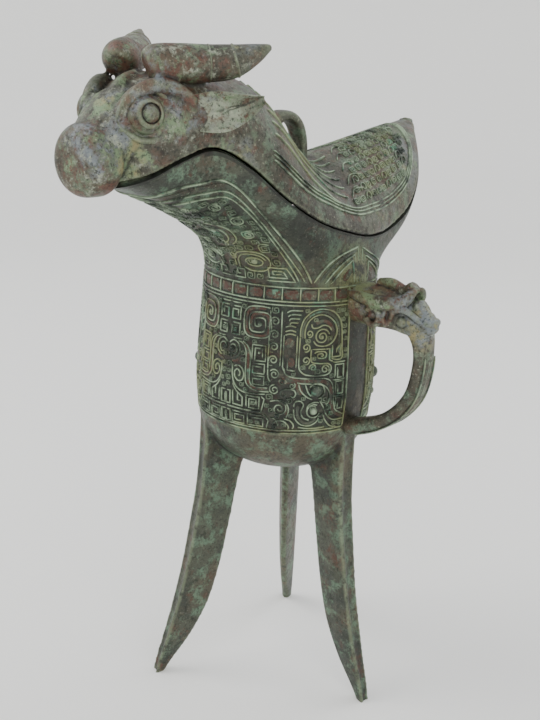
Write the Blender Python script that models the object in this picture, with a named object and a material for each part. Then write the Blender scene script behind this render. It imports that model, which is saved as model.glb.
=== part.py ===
"""Lidded bronze tripod wine vessel: a cup on three blade legs, and an arched lid with an animal head."""

from bisect import bisect_right
from math import cos, pi, radians, sin, sqrt

import bmesh
import bpy
from mathutils import Matrix, Vector

# Cup, in metres: radii are from its axis, and its parts stand on one another from the legs up
BELLY_RADIUS = 0.0375
CUP_BOTTOM = 0.0980
DOME_DEPTH = 0.0255
BULGE_RISE = 0.0155
BAND_DEPTH = 0.0535
BELT_DEPTH = 0.0060
BAND_BOTTOM = CUP_BOTTOM + DOME_DEPTH
BELLY_HEIGHT = BAND_BOTTOM + BULGE_RISE
BAND_TOP = BAND_BOTTOM + BAND_DEPTH
NECK_HEIGHT = BAND_TOP + BELT_DEPTH
WALL = 0.0028
FLOOR = 0.0035
CUP_SIDES = 46
DOME_RINGS = 4
BELLY_RINGS = 4
MOUTH_RINGS = 8

# Radii as shares of the belly's: lower border, brick band and neck
BORDER_SHARE = 0.970
BRICK_SHARE = 0.957
NECK_SHARE = 0.950

# Mouth: spout toward -Y, tail toward +Y, handle toward +X
# Angle round the neck in degrees, distance along Y, half width and rise of the rim above the
# neck, then how far the wall's flare lies inward of the rim and below it
MOUTH = (
    (-90, -0.1020, 0.0000, 0.0398, 0.0240, 0.0045),
    (-83, -0.1000, 0.0085, 0.0410, 0.0190, 0.0070),
    (-76, -0.0940, 0.0148, 0.0442, 0.0140, 0.0110),
    (-69, -0.0850, 0.0186, 0.0492, 0.0110, 0.0150),
    (-61, -0.0730, 0.0217, 0.0527, 0.0080, 0.0170),
    (-50, -0.0600, 0.0262, 0.0470, 0.0060, 0.0170),
    (-36, -0.0430, 0.0312, 0.0345, 0.0040, 0.0130),
    (-22, -0.0250, 0.0332, 0.0255, 0.0020, 0.0090),
    (-6, -0.0060, 0.0338, 0.0200, 0.0010, 0.0070),
    (10, 0.0110, 0.0328, 0.0173, 0.0010, 0.0070),
    (28, 0.0300, 0.0292, 0.0188, 0.0010, 0.0080),
    (46, 0.0480, 0.0258, 0.0255, 0.0020, 0.0120),
    (62, 0.0620, 0.0200, 0.0376, 0.0040, 0.0180),
    (76, 0.0735, 0.0100, 0.0511, 0.0040, 0.0260),
    (90, 0.0815, 0.0000, 0.0602, 0.0030, 0.0360),
)
NECK_RISE = 0.0200

# Blade legs: share of the way up to the cup's bottom, outer face beyond the belly's radius,
# depth toward the axis, half width outside and inside
LEG_ANGLES = (0, -120, 120)
LEG = (
    (1.2755, -0.0014, 0.0200, 0.0044, 0.0036),
    (1.1122, -0.0011, 0.0200, 0.0046, 0.0026),
    (0.9184, -0.0003, 0.0175, 0.0045, 0.0016),
    (0.7143, 0.0023, 0.0170, 0.0044, 0.0013),
    (0.5102, 0.0055, 0.0166, 0.0041, 0.0012),
    (0.3265, 0.0094, 0.0156, 0.0037, 0.0012),
    (0.1735, 0.0133, 0.0120, 0.0032, 0.0012),
    (0.0612, 0.0165, 0.0074, 0.0027, 0.0012),
    (0.0000, 0.0177, 0.0046, 0.0024, 0.0012),
)
LEG_GROOVE = 0.0009
LEG_GROOVE_WIDTH = 0.45
LEG_EDGE = (0.35, 0.92)
LEG_ROOT_ROWS = 4

# Strap handle: centre line beyond the belly's radius and as a share of the way up the band,
# half thickness and half width; then its snout and horns, with their rise above the band
HANDLE = (
    (-0.0030, 0.9720, 0.0080, 0.0080),
    (0.0055, 0.9776, 0.0085, 0.0078),
    (0.0145, 0.9720, 0.0078, 0.0072),
    (0.0225, 0.9346, 0.0066, 0.0062),
    (0.0273, 0.8505, 0.0048, 0.0052),
    (0.0293, 0.7196, 0.0035, 0.0047),
    (0.0290, 0.5421, 0.0033, 0.0047),
    (0.0265, 0.3645, 0.0033, 0.0047),
    (0.0205, 0.2112, 0.0033, 0.0047),
    (0.0125, 0.0991, 0.0033, 0.0048),
    (0.0045, 0.0318, 0.0034, 0.0050),
    (-0.0023, -0.0093, 0.0036, 0.0052),
)
SNOUT = ((0.0175, 0.0000, 0.0050, 0.0052), (0.0255, -0.0022, 0.0050, 0.0048),
         (0.0315, -0.0052, 0.0036, 0.0038), (0.0337, -0.0066, 0.0016, 0.0018))
HANDLE_HORN = ((0.0225, 0.0030, 0.0020, 0.0022), (0.0175, 0.0062, 0.0042, 0.0024),
               (0.0105, 0.0072, 0.0030, 0.0022), (0.0055, 0.0070, 0.0000, 0.0014))

# Lid: gap to the rim, and stations along Y with the ridge's rise above the neck, the bulge of
# the flanks and the roundness of the arch, from 1 for a straight roof to 3 for a square shoulder
LID_GAP = 0.0003
LID_LIFT = ((-0.1020, 0.0014), (-0.0860, 0.0000), (-0.0600, 0.0006), (-0.0350, 0.0000),
            (0.0150, 0.0000), (0.0450, 0.0013), (0.0680, 0.0000), (0.0815, 0.0000))
LID_WALL = 0.0028
LID_END = 0.0006
LID_EDGE = 0.0004
LID_PITCH = 0.0085
LID_ARC = 6
LID_LINE = ((-0.0400, 0.34), (-0.0200, 0.33), (0.0000, 0.30), (0.0200, 0.27), (0.0400, 0.27),
            (0.0540, 0.31), (0.0640, 0.42), (0.0700, 0.62), (0.0715, 0.80))
HOLLOW_FRONT = -0.0930
HOLLOW_BACK = 0.0700
HOLLOW_STEPS = 11
HOLLOW_DROP = 0.012
LID = (
    (-0.1080, 0.0602, 0.0000, 2.0),
    (-0.1020, 0.0660, 0.0010, 2.1),
    (-0.0960, 0.0720, 0.0020, 2.3),
    (-0.0880, 0.0765, 0.0024, 2.4),
    (-0.0700, 0.0775, 0.0020, 2.3),
    (-0.0500, 0.0770, 0.0012, 2.0),
    (-0.0410, 0.0750, 0.0006, 1.8),
    (-0.0330, 0.0705, 0.0002, 1.6),
    (-0.0260, 0.0645, 0.0000, 1.5),
    (-0.0180, 0.0570, 0.0000, 1.5),
    (-0.0100, 0.0505, 0.0000, 1.5),
    (0.0020, 0.0452, 0.0000, 1.6),
    (0.0140, 0.0480, 0.0000, 1.7),
    (0.0300, 0.0511, 0.0000, 1.7),
    (0.0510, 0.0550, 0.0000, 1.7),
    (0.0750, 0.0595, 0.0000, 1.7),
    (0.0815, 0.0606, 0.0000, 1.7),
)

# Muzzle: a rounded drum along Y
MUZZLE_RADIUS = 0.0121
MUZZLE_FRONT = -0.1163
MUZZLE_BACK = -0.1028
MUZZLE_RISE = 0.0492
MUZZLE_TIP = 0.0015
MUZZLE_CREASE = 0.0020
MUZZLE_ROUND = 0.0060
MUZZLE_SIDES = 16

# Face, eyes, brows, horns and ears of the lid's head, on the +X side, with their rise above
# the neck
FACE = (0.0000, -0.0985, 0.0585)
FACE_RADII = (0.0128, 0.0085, 0.0122)
EYE = (0.0124, -0.0957, 0.0642)
EYE_RADIUS = 0.0052
EYE_RIM = 0.0072
EYE_RIM_TUBE = 0.0013
BROW = ((0.0060, -0.1010, 0.0675), (0.0098, -0.0985, 0.0718), (0.0138, -0.0905, 0.0732),
        (0.0168, -0.0820, 0.0705))
BROW_RADIUS = 0.0022
HORN = (
    (0.0072, -0.0905, 0.0786, 0.0046),
    (0.0082, -0.0888, 0.0800, 0.0062),
    (0.0130, -0.0805, 0.0804, 0.0064),
    (0.0180, -0.0728, 0.0808, 0.0061),
    (0.0232, -0.0672, 0.0818, 0.0056),
    (0.0280, -0.0622, 0.0844, 0.0036),
    (0.0315, -0.0575, 0.0872, 0.0010),
)
FAR_HORN_LIFT = 0.0036
EAR = ((0.0160, -0.0835, 0.0640, 0.0036), (0.0212, -0.0790, 0.0652, 0.0068),
       (0.0268, -0.0725, 0.0668, 0.0076), (0.0316, -0.0660, 0.0686, 0.0052),
       (0.0352, -0.0606, 0.0706, 0.0012))
EAR_THICKNESS = 0.0040
EAR_HOLLOW = 0.0022
EAR_TAPER = (0.0030, 0.0060)
BROW_TAPER = 0.55
EYE_LOOK = (1.0, -0.35, 0.15)
EYE_PROUD = 0.0012

# Stub of the head that reaches into the muzzle, and the steps of the handle, horns and ears
PLUG_REACH = 0.0045
PLUG_SHARE = 0.75
HANDLE_STEPS = 14
HORN_STEPS = 8
EAR_STEPS = 7
BROW_STEPS = 7
LOOP_STEPS = 9

# Loop on the back of the animal's neck, in the plane of the ridge: distance along Y and rise
LOOP = ((-0.0172, 0.0542), (-0.0168, 0.0595), (-0.0130, 0.0623), (-0.0075, 0.0620),
        (-0.0028, 0.0588), (-0.0002, 0.0535), (0.0006, 0.0480), (0.0008, 0.0432))
LOOP_WIDTH = 0.0056
LOOP_THICKNESS = 0.0040

# Relief: height above the wall, depth it is rooted below it and half width at the wall
RELIEF = 0.0008
RELIEF_ROOT = 0.0004
RELIEF_HALF = 0.0009
BELT_PROUD = 0.0005

# Mask on a quarter of the belly: angle from the handle toward the spout and height above
# the band's lower border, then half sizes in degrees and metres, share of them left at the
# inner end, turns and winding
SPIRALS = (
    (30.7, 0.0400, 13.0, 0.0078, 0.38, 1.35, 1),
    (69.8, 0.0442, 8.6, 0.0072, 0.40, 1.35, -1),
    (32.7, 0.0082, 7.0, 0.0044, 0.75, 0.80, -1),
)
EYE_BOSS = (31.4, 0.0178, 0.0030)
JAW = ((47.0, 0.0232), (39.0, 0.0231), (31.0, 0.0230), (23.5, 0.0228), (20.2, 0.0200),
       (19.8, 0.0115), (15.5, 0.0048))
NOSE = ((50.2, 0.0240), (50.2, 0.0330), (50.2, 0.0420))

# Leaf on the spout: angle round the neck and share of the way up to the rim
LEAF = ((-88, 0.78), (-82, 0.81), (-74, 0.83), (-66, 0.82), (-60, 0.79), (-55, 0.70), (-50, 0.52),
        (-46, 0.30), (-39, 0.03))
SIDE_LEAF = ((-38, 0.03), (-20, 0.30), (-2, 0.74), (-2, 0.03))


def blend(rows, at):
    """Smooth curve through rows whose first value is the position along it."""
    keys = [row[0] for row in rows]
    index = min(max(bisect_right(keys, at) - 1, 0), len(rows) - 2)
    before = rows[max(index - 1, 0)]
    start = rows[index]
    end = rows[index + 1]
    after = rows[min(index + 2, len(rows) - 1)]
    span = end[0] - start[0]
    t = min(max((at - start[0]) / span, 0.0), 1.0)
    result = []
    for column in range(1, len(start)):
        enter = (end[column] - before[column]) / (end[0] - before[0]) * span
        leave = (after[column] - start[column]) / (after[0] - start[0]) * span
        result.append((2 * t**3 - 3 * t**2 + 1) * start[column] + (t**3 - 2 * t**2 + t) * enter
                      + (3 * t**2 - 2 * t**3) * end[column] + (t**3 - t**2) * leave)
    return result


def material(name, colour, roughness, metallic):
    made = bpy.data.materials.new(name)
    made.use_nodes = True
    shader = made.node_tree.nodes["Principled BSDF"]
    shader.inputs["Base Color"].default_value = (*colour, 1.0)
    shader.inputs["Roughness"].default_value = roughness
    shader.inputs["Metallic"].default_value = metallic
    return made


def mesh_object(name, points, faces):
    """One closed mesh, its faces turned outward."""
    mesh = bpy.data.meshes.new(name)
    mesh.from_pydata([tuple(point) for point in points], [], faces)
    builder = bmesh.new()
    builder.from_mesh(mesh)
    bmesh.ops.recalc_face_normals(builder, faces=builder.faces)
    builder.to_mesh(mesh)
    builder.free()
    made = bpy.data.objects.new(name, mesh)
    bpy.context.collection.objects.link(made)
    return made


def combine(target, tools, operation):
    """Join each tool in turn to the target or cut it from it, and drop the tool."""
    for tool in tools:
        change = target.modifiers.new("Combine", "BOOLEAN")
        change.solver = "EXACT"
        change.operation = operation
        change.object = tool
        bpy.context.view_layer.update()
        evaluated = target.evaluated_get(bpy.context.evaluated_depsgraph_get())
        result = bpy.data.meshes.new_from_object(evaluated)
        target.modifiers.clear()
        target.data = result
        bpy.data.objects.remove(tool)


def tube(name, rings, closed_ends=True):
    """Skin a row of equal rings of points."""
    sides = len(rings[0])
    points = [point for ring in rings for point in ring]
    faces = []
    for row in range(len(rings) - 1):
        for side in range(sides):
            after = (side + 1) % sides
            faces.append((row * sides + side, row * sides + after,
                          (row + 1) * sides + after, (row + 1) * sides + side))
    if closed_ends:
        faces.append(tuple(reversed(range(sides))))
        faces.append(tuple(range((len(rings) - 1) * sides, len(rings) * sides)))
    return mesh_object(name, points, faces)


def sweep(name, path, sections, side):
    """Carry flat sections, lists of (sideways, upward) offsets, along a path."""
    rings = []
    for index, centre in enumerate(path):
        ahead = path[min(index + 1, len(path) - 1)]
        behind = path[max(index - 1, 0)]
        along = (ahead - behind).normalized()
        lift = side.cross(along).normalized()
        across = along.cross(lift).normalized()
        rings.append([centre + across * a + lift * b for a, b in sections[index]])
    return tube(name, rings)


def oval(half_width, half_height, sides):
    return [(half_width * cos(2 * pi * (k + 0.5) / sides),
             half_height * sin(2 * pi * (k + 0.5) / sides)) for k in range(sides)]


def smooth_path(rows, count):
    """Points of a smooth curve through rows, evenly spread over their stations."""
    keyed = [(index, *row) for index, row in enumerate(rows)]
    return [blend(keyed, index * (len(rows) - 1) / (count - 1)) for index in range(count)]


def cup_radius(height):
    """Outer radius of the cup between its lower border and its neck."""
    rows = ((BAND_BOTTOM, BORDER_SHARE), (BELLY_HEIGHT, 1.0),
            (BAND_TOP, BRICK_SHARE), (NECK_HEIGHT, NECK_SHARE))
    return BELLY_RADIUS * blend(rows, height)[0]


def dome_radius(height):
    """Outer radius of the cup's rounded bottom."""
    share = min((BAND_BOTTOM - height) / (BAND_BOTTOM - CUP_BOTTOM), 1.0)
    return BELLY_RADIUS * BORDER_SHARE * sqrt(1 - share**2) if share > 0 else cup_radius(height)


def mouth_row(angle):
    """Rim station at an angle round the neck: side, then the columns of MOUTH."""
    angle = (angle + 90) % 360 - 90
    side = 1
    if angle > 90:
        angle = 180 - angle
        side = -1
    rows = list(MOUTH)
    first = (2 * MOUTH[0][0] - MOUTH[1][0], MOUTH[1][1], -MOUTH[1][2], *MOUTH[1][3:])
    last = (2 * MOUTH[-1][0] - MOUTH[-2][0], MOUTH[-2][1], -MOUTH[-2][2], *MOUTH[-2][3:])
    along, half, height, inward, below = blend([first, *rows, last], angle)
    return side, along, max(half, 0.0), NECK_HEIGHT + height, inward, below


def rim_point(angle):
    side, along, half, height, _, _ = mouth_row(angle)
    return Vector((side * half, along, height))


def neck_point(angle, share):
    """Outer wall from the neck, at share 0, to the rim, at share 1."""
    turn = radians(angle)
    radius = BELLY_RADIUS * NECK_SHARE
    start = Vector((radius * cos(turn), radius * sin(turn), NECK_HEIGHT))
    _, _, _, _, inward, below = mouth_row(angle)
    end = rim_point(angle)
    flat = Vector((end.x, end.y, 0.0))
    rise = min(NECK_RISE, (end.z - start.z) * 0.5)
    lower = start + Vector((0.0, 0.0, rise))
    upper = end - flat.normalized() * inward - Vector((0.0, 0.0, below))
    rest = 1 - share
    return (start * rest**3 + lower * 3 * rest**2 * share
            + upper * 3 * rest * share**2 + end * share**3)


def belly_place(angle, height):
    """Point on the belly's outside and the way out of the wall there."""
    turn = radians(angle)
    outward = Vector((cos(turn), sin(turn), 0.0))
    return outward * cup_radius(height) + Vector((0.0, 0.0, height)), outward


def neck_place(angle, share):
    """Point on the neck's outside and the way out of the wall there."""
    point = neck_point(angle, share)
    around = neck_point(angle + 1, share) - neck_point(angle - 1, share)
    upward = neck_point(angle, min(share + 0.02, 1)) - neck_point(angle, max(share - 0.02, 0))
    return point, around.cross(upward).normalized()


def ridge(places):
    """A raised line with a sharp crest along places on a wall."""
    rings = []
    for index, (point, outward) in enumerate(places):
        ahead = places[min(index + 1, len(places) - 1)][0]
        behind = places[max(index - 1, 0)][0]
        across = (ahead - behind).cross(outward).normalized()
        root = point - outward * RELIEF_ROOT
        rings.append([root - across * RELIEF_HALF, root + across * RELIEF_HALF,
                      point + outward * RELIEF])
    return tube("ridge", rings)


def spiral_places(centre, height, half_angle, half_height, inner, turns, winding):
    steps = max(6, round(9 * turns))
    places = []
    for k in range(steps + 1):
        turn = pi * 0.5 - winding * 2 * pi * turns * k / steps
        size = 1.0 - (1.0 - inner) * k / steps
        places.append((centre + half_angle * size * cos(turn),
                       height + half_height * size * sin(turn)))
    return places


def mask_relief():
    """Masks on both sides of the belly: four mirrored quarters."""
    tools = []
    for mirror, start in ((-1, 0), (1, 0), (-1, 180), (1, 180)):
        for centre, rise, wide, tall, inner, turns, winding in SPIRALS:
            flat = spiral_places(centre, BAND_BOTTOM + rise, wide, tall, inner, turns, winding)
            tools.append(ridge([belly_place(start + mirror * a, z) for a, z in flat]))
        for line in (JAW, NOSE):
            tools.append(ridge([belly_place(start + mirror * a, BAND_BOTTOM + z)
                                for a, z in line]))
        angle, rise, radius = EYE_BOSS
        centre, outward = belly_place(start + mirror * angle, BAND_BOTTOM + rise)
        tools.append(ball("eye boss", centre - outward * radius * 0.4, [radius] * 3, 8, 6))
    return tools


def leaf_relief():
    """Borders of the leaf on the spout and of the small leaves beside it."""
    tools = []
    for side in (0, 1):
        for line in (LEAF, SIDE_LEAF[:3], SIDE_LEAF[2:]):
            flat = [(-180 - a if side else a, share) for a, share in line]
            tools.append(ridge([neck_place(a, share) for a, share in flat]))
    return tools


def cup_rings():
    """Outer rings of the cup, bottom to rim, each a row of points round the axis."""
    angles = [-90 + 360 * k / CUP_SIDES for k in range(CUP_SIDES)]
    border = BELLY_RADIUS * BORDER_SHARE
    rings = []
    for k in range(1, DOME_RINGS):
        turn = 0.5 * pi * k / DOME_RINGS
        rings.append((border * sin(turn), BAND_BOTTOM - (BAND_BOTTOM - CUP_BOTTOM) * cos(turn)))
    for k in range(BELLY_RINGS):
        height = BAND_BOTTOM + (BAND_TOP - BAND_BOTTOM) * k / (BELLY_RINGS - 1)
        rings.append((cup_radius(height), height))
    for height in (BAND_TOP + BELT_PROUD, NECK_HEIGHT - BELT_PROUD):
        rings.append((cup_radius(height) + BELT_PROUD, height))
    result = [[Vector((radius * cos(radians(a)), radius * sin(radians(a)), height)) for a in angles]
              for radius, height in rings]
    for k in range(MOUTH_RINGS):
        result.append([neck_point(a, k / (MOUTH_RINGS - 1)) for a in angles])
    return result


def rim_line():
    """The rim on the +X side as (distance along Y, half width, height), at the ring's angles."""
    count = CUP_SIDES // 2
    points = [rim_point(-90 + 180 * k / count) for k in range(count + 1)]
    return [(point.y, point.x, point.z) for point in points]


def edge_at(along):
    """Half width and height of the rim at a distance along Y, straight between its corners."""
    line = rim_line()
    index = min(max(bisect_right([row[0] for row in line], along) - 1, 0), len(line) - 2)
    start, end = line[index], line[index + 1]
    share = min(max((along - start[0]) / (end[0] - start[0]), 0.0), 1.0)
    return [a + (b - a) * share for a, b in zip(start[1:], end[1:])]


def ring_normals(rings, row):
    """Outward directions of the wall at one ring."""
    count = len(rings[row])
    below = rings[max(row - 1, 0)]
    above = rings[min(row + 1, len(rings) - 1)]
    result = []
    for k in range(count):
        round_way = rings[row][(k + 1) % count] - rings[row][k - 1]
        result.append(round_way.cross(above[k] - below[k]).normalized())
    return result


def cup_shell():
    """The hollow cup as one closed mesh: outer wall, lip and inner wall."""
    outer = cup_rings()
    inner = []
    for row in (*range(DOME_RINGS - 2, len(outer) - 1, 2), len(outer) - 1):
        normals = ring_normals(outer, row)
        level = (row - (len(outer) - MOUTH_RINGS)) / (MOUTH_RINGS - 1)
        flat_share = min(max(level * 3 - 2, 0.0), 1.0)
        ring = []
        for point, normal in zip(outer[row], normals):
            flat = Vector((normal.x, normal.y, 0.0)).normalized()
            inside = normal.lerp(flat, flat_share)
            ring.append(point - inside * WALL)
        inner.append(ring)
    for point in inner[-1]:
        point.z = edge_at(point.y)[1]
    floor_height = CUP_BOTTOM + FLOOR
    rows = outer + list(reversed(inner))
    points = [Vector((0.0, 0.0, CUP_BOTTOM))]
    for row in rows:
        points.extend(row)
    points.append(Vector((0.0, 0.0, floor_height)))
    faces = []
    for k in range(CUP_SIDES):
        after = (k + 1) % CUP_SIDES
        faces.append((0, 1 + after, 1 + k))
        for row in range(len(rows) - 1):
            low = 1 + row * CUP_SIDES
            high = low + CUP_SIDES
            faces.append((low + k, low + after, high + after, high + k))
        last = 1 + (len(rows) - 1) * CUP_SIDES
        faces.append((last + k, last + after, len(points) - 1))
    return mesh_object("vessel", points, faces)


def leg(angle):
    """A blade leg: broad outer face, narrow inner edge, sabre curve to a small flat foot."""
    turn = radians(angle)
    outward = Vector((cos(turn), sin(turn), 0.0))
    across = Vector((-sin(turn), cos(turn), 0.0))
    stations = [(share * CUP_BOTTOM, BELLY_RADIUS + out, *rest) for share, out, *rest in LEG]
    rows = [row for row in stations if row[0] < CUP_BOTTOM]
    top = stations[0][0]
    for k in range(LEG_ROOT_ROWS + 1):
        height = CUP_BOTTOM + FLOOR / 2 + (top - CUP_BOTTOM - FLOOR / 2) * (k / LEG_ROOT_ROWS) ** 1.5
        radius, depth, half_out, half_in = blend(sorted(stations), height)
        inside = radius - dome_radius(height) + WALL / 2
        rows.insert(0, (height, radius, min(depth, inside), half_out, half_in))
    rings = []
    for height, radius, depth, half_out, half_in in rows:
        groove = min(LEG_GROOVE, depth * 0.25)
        groove_half = half_out * LEG_GROOVE_WIDTH
        edge_deep, edge_half = depth * LEG_EDGE[0], half_out * LEG_EDGE[1]
        section = ((0, half_out), (-groove, groove_half), (-groove, -groove_half),
                   (0, -half_out), (-edge_deep, -edge_half), (-depth, -half_in),
                   (-depth, half_in), (-edge_deep, edge_half))
        rings.append([outward * (radius + deep) + across * wide + Vector((0, 0, height))
                      for deep, wide in section])
    return tube("leg", rings)


def handle():
    """The strap handle and the small head with its horns that covers its upper root."""
    made = []
    strap = [(out, (share - 1) * BAND_DEPTH, *rest)
             for out, share, *rest in smooth_path(HANDLE, HANDLE_STEPS)]
    root = Vector((BELLY_RADIUS, 0.0, BAND_TOP))
    for rows in (strap, SNOUT):
        path = [root + Vector((out, 0.0, rise)) for out, rise, _, _ in rows]
        sections = [oval(wide, thick, 8) for _, _, thick, wide in rows]
        made.append(sweep("handle", path, sections, Vector((0.0, 1.0, 0.0))))
    for side in (1, -1):
        path = [root + Vector((out, side * wide, rise)) for out, wide, rise, _ in HANDLE_HORN]
        sections = [oval(radius, radius, 6) for *_, radius in HANDLE_HORN]
        made.append(sweep("handle horn", path, sections, Vector((0.0, 1.0, 0.0))))
    return made


def around_y(name, profile, centre_height, sides):
    """Solid of revolution about a level line along Y, from (distance, radius) pairs."""
    rings = [[Vector((radius * cos(2 * pi * k / sides), along, centre_height
                      + radius * sin(2 * pi * k / sides))) for k in range(sides)]
             for along, radius in profile]
    return tube(name, rings)


def muzzle():
    profile = [(MUZZLE_FRONT, MUZZLE_TIP)]
    for k in range(1, 5):
        turn = 0.5 * pi * k / 4
        profile.append((MUZZLE_FRONT + MUZZLE_ROUND * (1 - cos(turn)),
                        MUZZLE_RADIUS - MUZZLE_ROUND * (1 - sin(turn))))
    profile.append((MUZZLE_BACK - MUZZLE_CREASE, MUZZLE_RADIUS))
    profile.append((MUZZLE_BACK, MUZZLE_RADIUS - MUZZLE_CREASE))
    return around_y("muzzle", profile, NECK_HEIGHT + MUZZLE_RISE, MUZZLE_SIDES)


def lid_ring(along, inset, drop):
    """Arch of the lid across Y, from the +X edge over the ridge to the -X edge."""
    half, edge = edge_at(along)
    ridge, bulge, roundness = blend(LID, along)
    edge += LID_GAP + blend(LID_LIFT, along)[0]
    half = max(half - inset, LID_END)
    top = max(NECK_HEIGHT + ridge - inset * 1.1, edge + LID_EDGE)
    points = []
    for k in range(-LID_ARC, LID_ARC + 1):
        turn = 0.5 * pi * (1 - abs(k) / LID_ARC)
        width = half * cos(turn) ** (2 / roundness) + bulge * sin(2 * turn)
        height = edge + (top - edge) * sin(turn) ** (2 / roundness)
        points.append(Vector(((-1 if k > 0 else 1) * width, along, height)))
    if drop:
        points[0] = points[0] - Vector((0, 0, drop))
        points[-1] = points[-1] - Vector((0, 0, drop))
    return points


def lid_place(along, share):
    """Point on the +X flank of the lid, share 0 at the edge and 1 at the ridge, and the way out."""
    def point_at(y, part):
        points = lid_ring(y, 0.0, 0.0)
        place = part * LID_ARC
        low = min(int(place), LID_ARC - 1)
        return points[low].lerp(points[low + 1], place - low)
    point = point_at(along, share)
    forward = point_at(along + 0.001, share) - point_at(along - 0.001, share)
    upward = point_at(along, share + 0.1) - point_at(along, max(share - 0.1, 0))
    return point, forward.cross(upward).normalized()


def border_relief():
    """Raised line beside the plain border of the lid's tail."""
    tools = []
    for side in (1, -1):
        places = []
        for along, share in LID_LINE:
            point, outward = lid_place(along, share)
            flip = Vector((side, 1, 1))
            places.append((point * flip, outward * flip))
        tools.append(ridge(places))
    return tools


def lid_shell():
    """The arched lid with its hollow head and neck, open below."""
    corners = [row[0] for row in rim_line()]
    stations = [corners[0] + LID_END, *corners[1:-1], corners[-1] - LID_END]
    for start, end in zip(corners[1:-2], corners[2:-1]):
        if end - start > LID_PITCH:
            stations.append((start + end) / 2)
    stations.sort()
    rings = [lid_ring(along, 0.0, 0.0) for along in stations]
    plug = [point - Vector((0.0, PLUG_REACH, 0.0)) for point in rings[0]]
    centre = Vector((0.0, plug[0].y, NECK_HEIGHT + MUZZLE_RISE))
    plug = [centre + (point - centre) * PLUG_SHARE for point in plug]
    shell = tube("lid", [plug] + rings)
    reach = HOLLOW_BACK - HOLLOW_FRONT
    hollow = [lid_ring(HOLLOW_FRONT + reach * k / HOLLOW_STEPS, LID_WALL, HOLLOW_DROP)
              for k in range(HOLLOW_STEPS + 1)]
    combine(shell, [tube("hollow", hollow)], "DIFFERENCE")
    return shell


def ball(name, centre, radii, segments, rings):
    builder = bmesh.new()
    bmesh.ops.create_uvsphere(builder, u_segments=segments, v_segments=rings, radius=1.0)
    mesh = bpy.data.meshes.new(name)
    bmesh.ops.scale(builder, verts=builder.verts, vec=radii)
    bmesh.ops.translate(builder, verts=builder.verts, vec=centre)
    builder.to_mesh(mesh)
    builder.free()
    made = bpy.data.objects.new(name, mesh)
    bpy.context.collection.objects.link(made)
    return made


def ring_tube(name, centre, radius, thickness, normal):
    """A closed round ring lying across its normal."""
    side = normal.cross(Vector((0, 0, 1))).normalized()
    lift = side.cross(normal).normalized()
    steps = 12
    sides = 5
    points = []
    faces = []
    for k in range(steps):
        turn = 2 * pi * k / steps
        out = side * cos(turn) + lift * sin(turn)
        for j in range(sides):
            lean = 2 * pi * j / sides
            points.append(Vector(centre) + out * (radius + thickness * cos(lean))
                          + normal * thickness * sin(lean))
    for k in range(steps):
        for j in range(sides):
            a = k * sides + j
            b = k * sides + (j + 1) % sides
            c = ((k + 1) % steps) * sides + (j + 1) % sides
            d = ((k + 1) % steps) * sides + j
            faces.append((a, b, c, d))
    return mesh_object(name, points, faces)


def head_pieces():
    """Muzzle, face, eyes, brows, horns, ears and loop, to be joined to the lid."""
    neck = Vector((0.0, 0.0, NECK_HEIGHT))
    pieces = [muzzle(), ball("face", neck + Vector(FACE), FACE_RADII, 10, 6)]
    for side in (1, -1):
        flip = Vector((side, 1, 1))
        outward = (Vector(EYE_LOOK) * flip).normalized()
        eye = neck + Vector(EYE) * flip + outward * EYE_PROUD
        pieces.append(ball("eye", eye, [EYE_RADIUS] * 3, 10, 8))
        pieces.append(ring_tube("eye rim", eye, EYE_RIM, EYE_RIM_TUBE, outward))
        path = [neck + Vector(row) * flip for row in smooth_path(BROW, BROW_STEPS)]
        ends = [BROW_RADIUS * (BROW_TAPER + (1 - BROW_TAPER) * sin(pi * k / (BROW_STEPS - 1)))
                for k in range(BROW_STEPS)]
        pieces.append(sweep("brow", path, [oval(r, r, 6) for r in ends], Vector((1, 0, 0))))
        rows = smooth_path(HORN, HORN_STEPS)
        lift = FAR_HORN_LIFT if side < 0 else 0.0
        path = [neck + Vector(row[:3]) * flip + Vector((0, 0, lift * k / (len(rows) - 1)))
                for k, row in enumerate(rows)]
        pieces.append(sweep("horn", path, [oval(row[3], row[3], 8) for row in rows],
                            Vector((1, 0, 0))))
        rows = smooth_path(EAR, EAR_STEPS)
        path = [neck + Vector(row[:3]) * flip for row in rows]
        sections = []
        for *_, tall in rows:
            thick = EAR_THICKNESS * 0.5 * min(1.0, tall / EAR_TAPER[0])
            dip = EAR_HOLLOW * min(1.0, tall / EAR_TAPER[1])
            outline = ((-thick, 0), (-thick * 0.6, tall * 0.8), (thick * 0.2, tall),
                       (thick - dip * 0.3, tall * 0.6), (thick - dip, 0),
                       (thick - dip * 0.3, -tall * 0.6), (thick * 0.2, -tall),
                       (-thick * 0.6, -tall * 0.8))
            sections.append([(side * out, up) for out, up in outline])
        pieces.append(sweep("ear", path, sections, Vector((1, 0, 0))))
    path = [neck + Vector((0.0, along, rise)) for along, rise in smooth_path(LOOP, LOOP_STEPS)]
    section = oval(LOOP_WIDTH / 2, LOOP_THICKNESS / 2, 6)
    pieces.append(sweep("loop", path, [section] * LOOP_STEPS, Vector((1, 0, 0))))
    return pieces


def stand_on_origin(items):
    """Move the object so that the origin is at the bottom centre of its box."""
    points = [vertex.co for item in items for vertex in item.data.vertices]
    low = [min(point[axis] for point in points) for axis in range(3)]
    high = [max(point[axis] for point in points) for axis in range(3)]
    shift = Vector((-(low[0] + high[0]) / 2, -(low[1] + high[1]) / 2, -low[2]))
    for item in items:
        item.data.transform(Matrix.Translation(shift))
    return shift


def finish(item, colour, roughness):
    item.data.materials.clear()
    item.data.materials.append(material(item.name + " bronze", colour, roughness, 0.6))
    item.data.shade_smooth()
    item.data.set_sharp_from_angle(angle=radians(38))


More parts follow.
